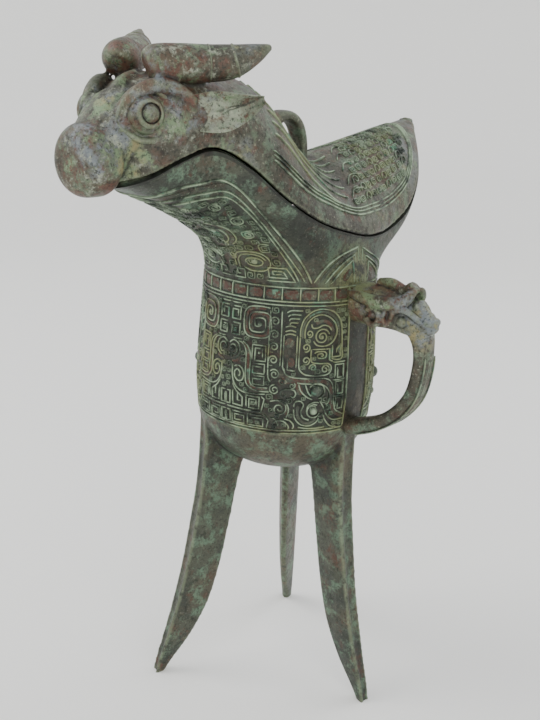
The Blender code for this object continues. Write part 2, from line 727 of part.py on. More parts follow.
def build():
    for item in list(bpy.data.objects):
        bpy.data.objects.remove(item)
    vessel = cup_shell()
    combine(vessel, [leg(angle) for angle in LEG_ANGLES] + handle(), "UNION")
    combine(vessel, mask_relief() + leaf_relief(), "UNION")
    lid = lid_shell()
    combine(lid, head_pieces() + border_relief(), "UNION")
    finish(vessel, (0.10, 0.11, 0.08), 0.5)
    finish(lid, (0.13, 0.11, 0.08), 0.45)
    return stand_on_origin((vessel, lid))


AXIS_SHIFT = build()
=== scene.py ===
"""Looks of a lidded bronze tripod wine vessel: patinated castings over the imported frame."""

from bisect import bisect_right
from math import cos, pi, radians, sin, sqrt

import bmesh
import bpy
import numpy as np
from mathutils import Matrix, Vector
from mathutils.bvhtree import BVHTree


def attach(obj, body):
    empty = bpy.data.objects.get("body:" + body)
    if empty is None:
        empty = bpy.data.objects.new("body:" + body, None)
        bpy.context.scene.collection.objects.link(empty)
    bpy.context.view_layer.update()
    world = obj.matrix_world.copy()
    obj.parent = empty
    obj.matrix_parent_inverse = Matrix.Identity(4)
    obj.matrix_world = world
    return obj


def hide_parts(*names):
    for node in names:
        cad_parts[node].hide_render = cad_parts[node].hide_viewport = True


bl_info = {
    "name": "Bronze Tripod Wine Vessel",
    "version": (1, 0, 0),
    "blender": (4, 5, 0),
    "location": "3D View > Sidebar > Vessel",
    "description": "Cast bronze tripod cup with a horned lid, raised ornament and a buried patina",
    "category": "Object",
}

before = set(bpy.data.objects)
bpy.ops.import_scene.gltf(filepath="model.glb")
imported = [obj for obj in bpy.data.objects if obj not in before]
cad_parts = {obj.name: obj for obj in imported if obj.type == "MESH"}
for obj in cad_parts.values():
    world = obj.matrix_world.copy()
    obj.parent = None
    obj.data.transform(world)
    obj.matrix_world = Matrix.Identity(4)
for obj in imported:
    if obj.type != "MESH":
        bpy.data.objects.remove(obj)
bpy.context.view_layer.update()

# The cup's axis in the row's frame, and the cup itself, in metres
AXIS = Vector((-0.01731, 0.01740, 0.0))
BELLY_RADIUS = 0.0375
CUP_BOTTOM = 0.098
BAND_BOTTOM = 0.1235
BAND_TOP = 0.1770
NECK_HEIGHT = 0.1830
NECK_RISE = 0.0200
WALL = 0.0028

# Cup radius as a share of the belly's, by height
CUP_CURVE = ((0.1235, 0.970), (0.1390, 1.000), (0.1770, 0.957), (0.1830, 0.950))

# Mouth: angle round the neck from the handle, distance along Y, half width and height of the
# rim, then how far the wall's flare lies inward of the rim and below it
MOUTH = (
    (-90, -0.1020, 0.0000, 0.2228, 0.0240, 0.0045),
    (-83, -0.1000, 0.0085, 0.2240, 0.0190, 0.0070),
    (-76, -0.0940, 0.0148, 0.2272, 0.0140, 0.0110),
    (-69, -0.0850, 0.0186, 0.2322, 0.0110, 0.0150),
    (-61, -0.0730, 0.0217, 0.2357, 0.0080, 0.0170),
    (-50, -0.0600, 0.0262, 0.2300, 0.0060, 0.0170),
    (-36, -0.0430, 0.0312, 0.2175, 0.0040, 0.0130),
    (-22, -0.0250, 0.0332, 0.2085, 0.0020, 0.0090),
    (-6, -0.0060, 0.0338, 0.2030, 0.0010, 0.0070),
    (10, 0.0110, 0.0328, 0.2003, 0.0010, 0.0070),
    (28, 0.0300, 0.0292, 0.2018, 0.0010, 0.0080),
    (46, 0.0480, 0.0258, 0.2085, 0.0020, 0.0120),
    (62, 0.0620, 0.0200, 0.2206, 0.0040, 0.0180),
    (76, 0.0735, 0.0100, 0.2341, 0.0040, 0.0260),
    (90, 0.0815, 0.0000, 0.2432, 0.0030, 0.0360),
)

# Blade legs: height, outer radius, depth toward the axis, half width outside and inside
LEG = (
    (0.0000, 0.0552, 0.0046, 0.0024, 0.0012),
    (0.0060, 0.0540, 0.0074, 0.0027, 0.0012),
    (0.0170, 0.0508, 0.0120, 0.0032, 0.0012),
    (0.0320, 0.0469, 0.0156, 0.0037, 0.0012),
    (0.0500, 0.0430, 0.0166, 0.0041, 0.0012),
    (0.0700, 0.0398, 0.0170, 0.0044, 0.0013),
    (0.0900, 0.0372, 0.0175, 0.0045, 0.0016),
    (0.1090, 0.0364, 0.0200, 0.0046, 0.0026),
    (0.1250, 0.0361, 0.0200, 0.0044, 0.0036),
)

# Handle: centre line along X and Z, half thickness and half width
STRAP = (
    (0.0352, 0.1755, 0.0080, 0.0080),
    (0.0430, 0.1758, 0.0085, 0.0078),
    (0.0520, 0.1755, 0.0078, 0.0072),
    (0.0600, 0.1735, 0.0066, 0.0062),
    (0.0648, 0.1690, 0.0048, 0.0052),
    (0.0668, 0.1620, 0.0035, 0.0047),
    (0.0665, 0.1525, 0.0033, 0.0047),
    (0.0640, 0.1430, 0.0033, 0.0047),
    (0.0580, 0.1348, 0.0033, 0.0047),
    (0.0500, 0.1288, 0.0033, 0.0048),
    (0.0420, 0.1252, 0.0034, 0.0050),
    (0.0358, 0.1232, 0.0036, 0.0052),
)
# Small head over the handle's root: snout like the strap, crest as X, Z and radius, and
# ridges as X, Y, Z and radius
SNOUT = ((0.0550, 0.1770, 0.0050, 0.0052), (0.0630, 0.1748, 0.0050, 0.0048),
         (0.0690, 0.1718, 0.0036, 0.0038), (0.0712, 0.1704, 0.0016, 0.0018))
HANDLE_HORN = ((0.0622, 0.0016, 0.1852, 0.0007), (0.0612, 0.0036, 0.1838, 0.0019),
               (0.0590, 0.0058, 0.1808, 0.0027),
               (0.0535, 0.0074, 0.1792, 0.0028), (0.0465, 0.0080, 0.1793, 0.0025),
               (0.0400, 0.0080, 0.1800, 0.0020), (0.0345, 0.0072, 0.1806, 0.0010))
HANDLE_BROW = ((0.0552, 0.0070, 0.1738, 0.0009), (0.0570, 0.0076, 0.1772, 0.0013),
               (0.0612, 0.0070, 0.1779, 0.0013), (0.0650, 0.0050, 0.1754, 0.0011),
               (0.0680, 0.0034, 0.1728, 0.0008))
HANDLE_JAW = ((0.0500, 0.0062, 0.1716, 0.0008), (0.0560, 0.0056, 0.1704, 0.0011),
              (0.0620, 0.0046, 0.1692, 0.0011), (0.0665, 0.0034, 0.1698, 0.0009))
HANDLE_CHEEK = ((0.0528, 0.0072, 0.1768, 0.0008), (0.0520, 0.0078, 0.1735, 0.0011),
                (0.0534, 0.0074, 0.1700, 0.0008))
HANDLE_CREST = ((0.0440, 0.1852, 0.0016), (0.0500, 0.1856, 0.0022), (0.0560, 0.1838, 0.0022),
                (0.0592, 0.1850, 0.0028), (0.0606, 0.1866, 0.0022))
# Lumps on the small head, as centre and radii: on its middle plane, then on either side
HANDLE_LUMPS = (((0.0636, 0.0, 0.1790), (0.0022, 0.0038, 0.0026)),
                ((0.0694, 0.0, 0.1736), (0.0024, 0.0050, 0.0019)),
                ((0.0672, 0.0, 0.1752), (0.0026, 0.0040, 0.0022)))
HANDLE_SIDE_LUMPS = (((0.0602, 0.0070, 0.1732), (0.0020, 0.0020, 0.0020)),
                     ((0.0545, 0.0050, 0.1720), (0.0030, 0.0024, 0.0026)),
                     ((0.0690, 0.0038, 0.1738), (0.0014, 0.0012, 0.0012)))
# Curled ear: centre, half width, half height and thickness
HANDLE_EAR = (0.0474, 0.0078, 0.1734, 0.0030, 0.0034, 0.0014)

# Lid: gap over the rim, how far it stops short of the rim's front and back ends, and the
# further lift of its edge by the distance along Y
LID_GAP = 0.0003
LID_SHORT = (0.0006, 0.0005)
LID_LIFT = ((-0.1020, 0.0016), (-0.0860, 0.0007), (-0.0600, 0.0010), (-0.0350, 0.0004),
            (0.0150, 0.0003), (0.0450, 0.0013), (0.0680, 0.0004), (0.0815, 0.0009))
# Stations along Y with the ridge's height, the flanks' bulge and the arch's roundness
LID = (
    (-0.1080, 0.2432, 0.0000, 2.0),
    (-0.1020, 0.2490, 0.0010, 2.1),
    (-0.0960, 0.2550, 0.0020, 2.3),
    (-0.0880, 0.2595, 0.0024, 2.4),
    (-0.0700, 0.2605, 0.0020, 2.3),
    (-0.0500, 0.2600, 0.0012, 2.0),
    (-0.0410, 0.2580, 0.0006, 1.8),
    (-0.0330, 0.2535, 0.0002, 1.6),
    (-0.0260, 0.2475, 0.0000, 1.5),
    (-0.0180, 0.2400, 0.0000, 1.5),
    (-0.0100, 0.2335, 0.0000, 1.5),
    (0.0020, 0.2282, 0.0000, 1.6),
    (0.0140, 0.2310, 0.0000, 1.7),
    (0.0300, 0.2341, 0.0000, 1.7),
    (0.0510, 0.2380, 0.0000, 1.7),
    (0.0750, 0.2425, 0.0000, 1.7),
    (0.0815, 0.2436, 0.0000, 1.7),
)
# Head of the lid: ridges as X, Y, Z and radius, or Y, Z and radius on the middle plane
MUZZLE_RADIUS = 0.0121
MUZZLE_FRONT = -0.1163
MUZZLE_BACK = -0.1028
MUZZLE_HEIGHT = 0.2322
MUZZLE_ROUND = 0.0060
# Rounded back end of the muzzle: distance behind its edge and inward of its side
MUZZLE_END = ((-0.0030, 0.0), (-0.0012, 0.0007), (0.0, 0.0026), (0.004, 0.0060))
EYE = (0.0124, -0.0957, 0.2472)
EYE_LOOK = (1.0, -0.35, 0.15)
# Eyeball and its ring as radius and height, then both lids as distance ahead and rise
EYE_PROFILE = ((0.0, 0.0054), (0.0010, 0.0052), (0.0019, 0.0046), (0.0026, 0.0036),
               (0.0029, 0.0032), (0.0032, 0.0030), (0.0035, 0.0034), (0.0040, 0.0035),
               (0.0046, 0.0031), (0.0049, 0.0021), (0.0052, 0.0015), (0.0058, 0.0010),
               (0.0064, -0.0002), (0.0066, -0.0016), (0.0060, -0.0030))
EYELIDS = (((-0.0104, -0.0026), (-0.0086, 0.0020), (-0.0046, 0.0062), (0.0010, 0.0080),
            (0.0060, 0.0060), (0.0092, 0.0018), (0.0118, 0.0004)),
           ((-0.0100, -0.0030), (-0.0070, -0.0058), (-0.0026, -0.0080), (0.0028, -0.0080),
            (0.0070, -0.0052), (0.0098, -0.0008)))
BROW = ((0.0078, -0.1040, 0.2425), (0.0084, -0.1025, 0.2475), (0.0100, -0.0995, 0.2525),
        (0.0132, -0.0930, 0.2562), (0.0164, -0.0860, 0.2555), (0.0190, -0.0795, 0.2515))
SNOUT_ROOT = ((-0.1075, 0.2335, 0.0104), (-0.1050, 0.2348, 0.0109), (-0.1020, 0.2374, 0.0114),
              (-0.0985, 0.2405, 0.0123), (-0.0940, 0.2430, 0.0129), (-0.0880, 0.2445, 0.0120))
HORN = (
    (0.0068, -0.0908, 0.2622, 0.0036),
    (0.0074, -0.0898, 0.2626, 0.0056),
    (0.0090, -0.0872, 0.2630, 0.0064),
    (0.0130, -0.0805, 0.2634, 0.0064),
    (0.0180, -0.0728, 0.2638, 0.0061),
    (0.0232, -0.0672, 0.2648, 0.0056),
    (0.0280, -0.0622, 0.2674, 0.0036),
    (0.0315, -0.0575, 0.2702, 0.0010),
)
FAR_HORN_LIFT = 0.0036
# Rings round the horn: station out of 60, half width and how far each stands out
HORN_RINGS = ((44, 0.0007, 0.00030), (34, 0.0005, 0.00015))
EAR = ((0.0170, -0.0815, 0.2480, 0.0050), (0.0214, -0.0778, 0.2484, 0.0064),
       (0.0260, -0.0728, 0.2490, 0.0066), (0.0304, -0.0678, 0.2508, 0.0044),
       (0.0340, -0.0624, 0.2534, 0.0012))
NOSE_RIDGE = ((-0.1085, 0.2420), (-0.1045, 0.2458), (-0.1000, 0.2515), (-0.0950, 0.2568),
              (-0.0890, 0.2590))
LOOP = ((-0.0172, 0.2372), (-0.0168, 0.2425), (-0.0130, 0.2453), (-0.0075, 0.2450),
        (-0.0028, 0.2418), (-0.0002, 0.2365), (0.0006, 0.2310), (0.0008, 0.2262))
LOOP_HALF_WIDTH = 0.0040
LOOP_HALF_THICKNESS = 0.0020
BROW_RADIUS = 0.0026
EYELID_RADIUS = 0.0011
NOSE_RIDGE_RADIUS = 0.0020
LID_WALL = 0.0027

# How the castings are made: grain of each melt, how far the legs run below the floor before
# they are cut level, the bowl under the cup's bottom that carries them, the room kept between
# the lid and the cup, and how near the two count as close
LEG_GRAIN = 0.0008
HANDLE_GRAIN = 0.00042
LID_GRAIN = 0.00076
SOLE_DEPTH = 0.0024
BOWL_PROUD = 0.00012
BOWL_WALL = 0.0022
LID_CLEARANCE = 0.00025
CLEARANCE_REACH = 0.0030
SIDEWAYS = Vector((1, 0, 0))
# How deep ornament is rooted in its wall
ROOT_DEPTH = 0.0003

# How the floor's edge curves up behind: growth and rise of each step
FLOOR_CURVE = ((1.16, 0.02), (1.12, 0.06), (1.08, 0.12), (1.05, 0.20), (1.02, 0.35), (1.00, 0.60))

# Stage: camera's place from the cup's axis, its lens in mm, its turn, tilt and roll in degrees,
# the point that the lights face, and each light's name, place, size, share of the key's power
# and colour
CAMERA_PLACE = Vector((0.25304, -0.32387, 0.266))
CAMERA_LENS = 50
CAMERA_TURNS = ((38.93, "Z"), (90 - 16.7, "X"), (3.0, "Z"))
LIGHTS_AIM = Vector((0, 0, 0.14))
LIGHTS = (("key light", (-0.75, -0.60, 1.05), 0.9, 1.0, (1.0, 0.99, 0.97)),
          ("side light", (0.95, -0.55, 0.55), 0.7, 0.35, (1.0, 0.97, 0.92)),
          ("back light", (0.25, 1.0, 0.9), 0.8, 0.35, (0.97, 0.99, 1.0)))


def fade(value):
    return min(max(value, 0.0), 1.0)


def blend(rows, at):
    """Smooth curve through rows whose first value is the position along it."""
    keys = [row[0] for row in rows]
    index = min(max(bisect_right(keys, at) - 1, 0), len(rows) - 2)
    before, start, end = rows[max(index - 1, 0)], rows[index], rows[index + 1]
    after = rows[min(index + 2, len(rows) - 1)]
    span = end[0] - start[0]
    t = fade((at - start[0]) / span)
    result = []
    for column in range(1, len(start)):
        enter = (end[column] - before[column]) / (end[0] - before[0]) * span
        leave = (after[column] - start[column]) / (after[0] - start[0]) * span
        result.append((2 * t**3 - 3 * t**2 + 1) * start[column] + (t**3 - 2 * t**2 + t) * enter
                      + (3 * t**2 - 2 * t**3) * end[column] + (t**3 - t**2) * leave)
    return result


def smooth_path(rows, count):
    """Points of a smooth curve through rows, evenly spread over their stations."""
    keyed = [(index, *row) for index, row in enumerate(rows)]
    return [blend(keyed, index * (len(rows) - 1) / (count - 1)) for index in range(count)]


# Walls of the cup and the lid

def cup_radius(height):
    return BELLY_RADIUS * blend(CUP_CURVE, height)[0]


def mouth_row(angle):
    """Rim station at an angle round the neck: side, then the columns of MOUTH."""
    angle = (angle + 90) % 360 - 90
    side = 1
    if angle > 90:
        angle, side = 180 - angle, -1
    first = (2 * MOUTH[0][0] - MOUTH[1][0], MOUTH[1][1], -MOUTH[1][2], *MOUTH[1][3:])
    last = (2 * MOUTH[-1][0] - MOUTH[-2][0], MOUTH[-2][1], -MOUTH[-2][2], *MOUTH[-2][3:])
    along, half, height, inward, below = blend([first, *MOUTH, last], angle)
    return side, along, max(half, 0.0), height, inward, below


def neck_point(angle, share):
    """Outer wall from the neck, at share 0, to the rim, at share 1."""
    turn = radians(angle)
    radius = cup_radius(NECK_HEIGHT)
    start = Vector((radius * cos(turn), radius * sin(turn), NECK_HEIGHT))
    side, along, half, height, inward, below = mouth_row(angle)
    end = Vector((side * half, along, height))
    flat = Vector((end.x, end.y, 0.0)).normalized()
    rise = min(NECK_RISE, (end.z - start.z) * 0.5)
    lower = start + Vector((0.0, 0.0, rise))
    upper = end - flat * inward - Vector((0.0, 0.0, below))
    rest = 1 - share
    return (start * rest**3 + lower * 3 * rest**2 * share
            + upper * 3 * rest * share**2 + end * share**3)


RIM = [neck_point(-90 + step * 0.5, 1.0) for step in range(361)]
RIM_ALONG = [point.y for point in RIM]
RIM_HALF = [point.x for point in RIM]
RIM_HEIGHT = [point.z for point in RIM]


def lid_point(along, share, side):
    """Lid's outer arch at a distance along Y: share 0 at the edge, 1 at the ridge."""
    edge = float(np.interp(along, RIM_ALONG, RIM_HEIGHT)) + LID_GAP + blend(LID_LIFT, along)[0]
    half = max(float(np.interp(along, RIM_ALONG, RIM_HALF)), 0.0006)
    ridge, bulge, roundness = blend(LID, along)
    turn = 0.5 * pi * min(share, 1.0)
    width = half * max(cos(turn), 0.0) ** (2 / roundness) + bulge * sin(2 * turn)
    height = edge + (ridge - edge) * sin(turn) ** (2 / roundness)
    return Vector((side * width, along, height))


def wall_way(place, a, b, da, db):
    """Point on a wall and the way out of it, by small steps along both of its directions."""
    point = place(a, b)
    one = place(a + da, b) - place(a - da, b)
    two = place(a, b + db) - place(a, b - db)
    return point, one.cross(two).normalized()


def level_way(turn):
    """Level direction out of the cup's axis."""
    return Vector((cos(turn), sin(turn), 0.0))


def belly_place(across, down, mirror, start):
    """Belly: mm from the handle's line round the cup, and mm above the band's lower edge."""
    angle = radians(start) + mirror * across * 0.001 / BELLY_RADIUS
    height = BAND_BOTTOM + down * 0.001
    outward = level_way(angle)
    return outward * cup_radius(height) + Vector((0.0, 0.0, height)), outward


def neck_place(angle, share, mirror):
    """Neck: degrees from the handle toward the spout as a negative angle, share of the way up."""
    angle = angle if mirror > 0 else -180 - angle
    return wall_way(neck_point, angle, min(max(share, 0.02), 0.98), 0.4, 0.01)


def lid_place(along, share, side):
    """Lid flank: Y in mm and share of the way from the edge to the ridge."""
    share = min(max(share, 0.01), 0.985)
    point, outward = wall_way(lambda y, s: lid_point(y, s, side),
                              along * 0.001, share, 0.0004, 0.01)
    return point, (outward if outward.x * side > 0 or outward.z > 0.5 else -outward)


# Modelling helpers

def deselect():
    if bpy.context.object and bpy.context.object.mode != "OBJECT":
        bpy.ops.object.mode_set(mode="OBJECT")
    bpy.ops.object.select_all(action="DESELECT")


def select_only(piece):
    deselect()
    piece.select_set(True)
    bpy.context.view_layer.objects.active = piece


def wrapped_grid(name, columns, rows, place):
    """A primitive grid whose columns and rows are laid on a wall by place(u, v)."""
    deselect()
    bpy.ops.mesh.primitive_grid_add(x_subdivisions=columns, y_subdivisions=rows, size=1)
    piece = bpy.context.object
    piece.name = name
    for vertex in piece.data.vertices:
        vertex.co = place(vertex.co.x + 0.5, vertex.co.y + 0.5)
    return piece


def edit_whole(piece, *steps):
    """Run mesh operators, each given with its settings, on all of a piece."""
    select_only(piece)
    bpy.ops.object.mode_set(mode="EDIT")
    bpy.ops.mesh.select_all(action="SELECT")
    for operator, settings in steps:
        operator(**settings)
    bpy.ops.object.mode_set(mode="OBJECT")


def close_seams(piece, distance=0.00002):
    """Merge doubled points, unless distance is 0, and turn the faces outward."""
    merge = [(bpy.ops.mesh.remove_doubles, {"threshold": distance})] if distance else []
    edit_whole(piece, *merge, (bpy.ops.mesh.normals_make_consistent, {"inside": False}))


def closed_grid(name, columns, rows, place):
    """A wrapped grid with its seam and both of its ends closed."""
    piece = wrapped_grid(name, columns, rows, place)
    close_seams(piece)
    edit_whole(piece, (bpy.ops.mesh.fill_holes, {"sides": 0}))
    close_seams(piece)
    return piece


def apply_modifier(piece, kind, **settings):
    select_only(piece)
    change = piece.modifiers.new(kind.title(), kind)
    for key, value in settings.items():
        setattr(change, key, value)
    bpy.ops.object.modifier_apply(modifier=change.name)


def join_pieces(name, pieces):
    deselect()
    for piece in pieces:
        piece.select_set(True)
    bpy.context.view_layer.objects.active = pieces[0]
    if len(pieces) > 1:
        bpy.ops.object.join()
    pieces[0].name = name
    return pieces[0]


def shade(piece, angle=40):
    select_only(piece)
    bpy.ops.object.shade_smooth_by_angle(angle=radians(angle))


def fuse(piece, voxel, smoothing):
    """Melt overlapping forms into one casting, with soft inner corners."""
    apply_modifier(piece, "REMESH", mode="VOXEL", voxel_size=voxel, use_smooth_shade=True)
    apply_modifier(piece, "SMOOTH", factor=0.5, iterations=smoothing)


def keep_clear(piece, support, gap):
    """Push a casting's skin off the piece that it rests on, so that it still lifts away."""
    tree = BVHTree.FromPolygons([vertex.co for vertex in support.data.vertices],
                                [tuple(face.vertices) for face in support.data.polygons])
    for _ in range(3):
        for vertex in piece.data.vertices:
            spot, outward, _, _ = tree.find_nearest(vertex.co, CLEARANCE_REACH)
            if spot is None:
                continue
            room = (vertex.co - spot).dot(outward)
            if room < gap:
                vertex.co += outward * (gap - room)


def swept(name, rows, sides, side_way, outline):
    """Tube along rows of (x, y, z, ...), its section from outline(row, turn, v): across and up."""
    path = [Vector(row[:3]) for row in rows]
    frames = []
    for index, centre in enumerate(path):
        along = (path[min(index + 1, len(path) - 1)] - path[max(index - 1, 0)]).normalized()
        lift = side_way.cross(along).normalized()
        frames.append((centre, along.cross(lift).normalized(), lift))

    def place(u, v):
        index = round(v * (len(path) - 1))
        centre, across, lift = frames[index]
        wide, tall = outline(rows[index], 2 * pi * u, v)
        return centre + across * wide + lift * tall
    return closed_grid(name, sides, len(path) - 1, place)


def paint(piece, name, values):
    """Store one number a vertex for the finish to read."""
    layer = piece.data.attributes.get(name) or piece.data.attributes.new(name, "FLOAT", "POINT")
    layer.data.foreach_set("value", np.asarray(values, dtype=np.float32))


def edge_wear_light_and_shade(piece, reach):
    """How far each point stands out, smoothed: above 0 on edges, below it in corners. The finish
    paints the edges lighter, partly as wear and partly as a painted highlight, and the corners
    darker as painted shade.
    """
    mesh = piece.data
    count = len(mesh.vertices)
    places = np.empty(count * 3)
    mesh.vertices.foreach_get("co", places)
    places = places.reshape(-1, 3)
    normals = np.empty(count * 3)
    mesh.vertices.foreach_get("normal", normals)
    normals = normals.reshape(-1, 3)
    pairs = np.empty(len(mesh.edges) * 2, dtype=np.int64)
    mesh.edges.foreach_get("vertices", pairs)
    one, two = pairs.reshape(-1, 2).T
    degree = np.maximum(np.bincount(one, minlength=count) + np.bincount(two, minlength=count), 1)
    away = places[two] - places[one]
    length = np.maximum(np.linalg.norm(away, axis=1), 1e-7)
    bend_one = -(normals[one] * away).sum(1) / length
    bend_two = (normals[two] * away).sum(1) / length
    wear_light_and_shade = np.bincount(one, bend_one, count) + np.bincount(two, bend_two, count)
    wear_light_and_shade /= degree
    for _ in range(reach):
        spread = np.bincount(one, wear_light_and_shade[two], count) + np.bincount(two, wear_light_and_shade[one], count)
        wear_light_and_shade = 0.5 * wear_light_and_shade + 0.5 * spread / degree
    paint(piece, "wear_light_and_shade", np.clip(wear_light_and_shade * 4, -1, 1))


# Raised ornament: lines, flats and bosses gathered into one mesh

def even_line(points, step, curved):
    """Points spaced evenly along a line, straight from corner to corner or curved through them."""
    points = [Vector((*point, 0.0)) for point in points]
    fine = []
    if curved and len(points) > 2:
        for index in range(len(points) - 1):
            a = points[max(index - 1, 0)]
            b, c = points[index], points[index + 1]
            d = points[min(index + 2, len(points) - 1)]
            parts = max(2, round((c - b).length / step))
            for k in range(parts):
                t = k / parts
                fine.append(0.5 * ((2 * b) + (c - a) * t + (2 * a - 5 * b + 4 * c - d) * t**2
                                   + (3 * b - a - 3 * c + d) * t**3))
        fine.append(points[-1])
    else:
        for b, c in zip(points[:-1], points[1:]):
            parts = max(1, round((c - b).length / (step * 2.4)))
            fine.extend(b.lerp(c, k / parts) for k in range(parts))
        fine.append(points[-1])
    return [(point.x, point.y) for point in fine]


class Ornament:
    """Raised lines, flats and bosses laid on a wall; made one mesh at the end."""

    def __init__(self):
        self.points, self.faces, self.tone, self.red = [], [], [], []
        self.taken = []

    def add(self, point, tone, red):
        self.points.append(point)
        self.tone.append(tone)
        self.red.append(red)

    def strip(self, places, half, rise, root, tone, red, shoulder=0.5):
        """A strip with a flat top; half widths and rise in metres."""
        count = len(places)
        first = len(self.points)
        self.taken.extend(tuple(point) for point, _ in places)
        for index, (point, outward) in enumerate(places):
            along = places[min(index + 1, count - 1)][0] - places[max(index - 1, 0)][0]
            across = along.cross(outward)
            if across.length < 1e-9:
                across = Vector((1, 0, 0))
            across.normalize()
            taper = 1.0 if 0 < index < count - 1 else 0.35
            for wide, up, value in ((-1, -root, 0.0), (-shoulder, rise, tone),
                                    (shoulder, rise, tone), (1, -root, 0.0)):
                lift = up * taper if up > 0 else up
                self.add(point + across * (half * wide * taper) + outward * lift, value, red)
        for index in range(count - 1):
            for k in range(4):
                a, b = first + index * 4 + k, first + index * 4 + (k + 1) % 4
                self.faces.append((a, b, b + 4, a + 4))
        self.faces.append((first + 3, first + 2, first + 1, first))
        last = first + (count - 1) * 4
        self.faces.append((last, last + 1, last + 2, last + 3))

    def boss(self, place, radius, rise, tone, red, rings=4, sides=14):
        """A low round boss on the wall."""
        point, outward = place
        side = outward.cross(Vector((0, 0, 1)))
        side = side.normalized() if side.length > 1e-6 else Vector((1, 0, 0))
        up = side.cross(outward).normalized()
        first = len(self.points)
        for ring in range(rings):
            lean = 0.5 * pi * ring / rings
            for k in range(sides):
                turn = 2 * pi * k / sides
                flat = (side * cos(turn) + up * sin(turn)) * radius * cos(lean)
                self.add(point + flat + outward * (rise * sin(lean) - ROOT_DEPTH),
                         tone * sin(lean), red)
        self.add(point + outward * (rise - ROOT_DEPTH), tone, red)
        self.add(point - outward * ROOT_DEPTH, 0.0, red)
        for ring in range(rings - 1):
            for k in range(sides):
                a, b = first + ring * sides + k, first + ring * sides + (k + 1) % sides
                self.faces.append((a, b, b + sides, a + sides))
        last = first + (rings - 1) * sides
        for k in range(sides):
            self.faces.append((last + k, last + (k + 1) % sides, first + rings * sides))
            self.faces.append((first + (k + 1) % sides, first + k, first + rings * sides + 1))

    def make(self, name):
        mesh = bpy.data.meshes.new(name)
        mesh.from_pydata([tuple(point + AXIS) for point in self.points], [], self.faces)
        piece = bpy.data.objects.new(name, mesh)
        bpy.context.collection.objects.link(piece)
        close_seams(piece, 0)
        paint(piece, "tone", self.tone)
        paint(piece, "red", self.red)
        shade(piece, 50)
        return piece


# Castings

def cast_cup():
    """Outer wall from the rounded bottom to the rim, thickened inward to the true wall."""
    bottom_rows, band_rows, neck_rows, columns = 12, 16, 56, 240
    heights = []
    border = cup_radius(BAND_BOTTOM)
    for k in range(bottom_rows + 1):
        turn = 0.5 * pi * k / bottom_rows
        heights.append((border * sin(turn), BAND_BOTTOM - (BAND_BOTTOM - CUP_BOTTOM) * cos(turn)))
    for k in range(1, band_rows + 1):
        height = BAND_BOTTOM + (BAND_TOP - BAND_BOTTOM) * k / band_rows
        heights.append((cup_radius(height), height))
    total = len(heights) + neck_rows

    def place(u, v):
        row = round(v * (total - 1))
        angle = -90 + 360 * u
        if row < len(heights):
            radius, height = heights[row]
            turn = radians(angle)
            return Vector((radius * cos(turn), radius * sin(turn), height)) + AXIS
        share = (row - len(heights) + 1) / neck_rows
        return neck_point(angle, share) + AXIS
    cup = wrapped_grid("cup", columns, total - 1, place)
    close_seams(cup)
    apply_modifier(cup, "SOLIDIFY", thickness=WALL, offset=-1.0, use_even_offset=True)
    edge_wear_light_and_shade(cup, 1)
    # Painted shadow along the joint under the lid
    paint_joint_shadow(cup, 0.0010)
    paint(cup, "shade", [1.0 if BAND_BOTTOM < vertex.co.z < NECK_HEIGHT else
                         0.5 * float(NECK_HEIGHT < vertex.co.z < NECK_HEIGHT + 0.03)
                         for vertex in cup.data.vertices])
    spread_bloom(cup)
    shade(cup, 35)
    return cup


def cast_legs():
    """Three blade legs run into the cup's rounded bottom."""
    parts = []
    rows = smooth_path(LEG, 44)
    rows.insert(0, [-SOLE_DEPTH, *rows[0][1:]])
    for angle in (0, 120, 240):
        turn = radians(angle)
        outward = level_way(turn)
        across = Vector((-sin(turn), cos(turn), 0.0))

        def place(u, v, outward=outward, across=across):
            height, radius, depth, half_out, half_in = rows[round(v * (len(rows) - 1))]
            dome = (BAND_BOTTOM - height) / (BAND_BOTTOM - CUP_BOTTOM)
            if dome < 1:
                inside = radius - cup_radius(BAND_BOTTOM) * sqrt(1 - max(dome, 0) ** 2) + WALL * 0.5
                depth = min(depth, max(inside, 0.0016))
            groove = min(0.0010, depth * 0.25)
            section = ((0, half_out * 0.72), (-groove, half_out * 0.42), (-groove, 0),
                       (-groove, -half_out * 0.42), (0, -half_out * 0.72),
                       (-groove * 0.5, -half_out), (-depth * 0.35, -half_out * 0.95),
                       (-depth * 0.7, -half_out * 0.55 - half_in * 0.3), (-depth, -half_in),
                       (-depth, half_in), (-depth * 0.7, half_out * 0.55 + half_in * 0.3),
                       (-depth * 0.35, half_out * 0.95), (-groove * 0.5, half_out))
            deep, wide = section[round(u * len(section)) % len(section)]
            return outward * (radius + deep) + across * wide + Vector((0, 0, height)) + AXIS
        parts.append(closed_grid("leg", 13, len(rows) - 1, place))
    border = cup_radius(BAND_BOTTOM) + BOWL_PROUD

    def dome_place(u, v):
        lean = 0.5 * pi * v
        turn = 2 * pi * u
        return Vector((border * sin(lean) * cos(turn), border * sin(lean) * sin(turn),
                       BAND_BOTTOM - (BAND_BOTTOM - CUP_BOTTOM + BOWL_PROUD) * cos(lean))) + AXIS
    dome = wrapped_grid("dome", 96, 20, dome_place)
    close_seams(dome)
    apply_modifier(dome, "SOLIDIFY", thickness=BOWL_WALL, offset=-1.0)
    legs = join_pieces("legs", parts + [dome])
    fuse(legs, LEG_GRAIN, 3)
    for vertex in legs.data.vertices:
        vertex.co.z = max(vertex.co.z, 0.0)
    edge_wear_light_and_shade(legs, 3)
    return legs


def bowed(value):
    """Square off a sine or cosine, for sections with rounded corners."""
    return abs(value) ** 0.55 * (1 if value > 0 else -1)


def round_outline(row, turn, _):
    """Round section whose radius is the row's last value."""
    return row[-1] * cos(turn), row[-1] * sin(turn)


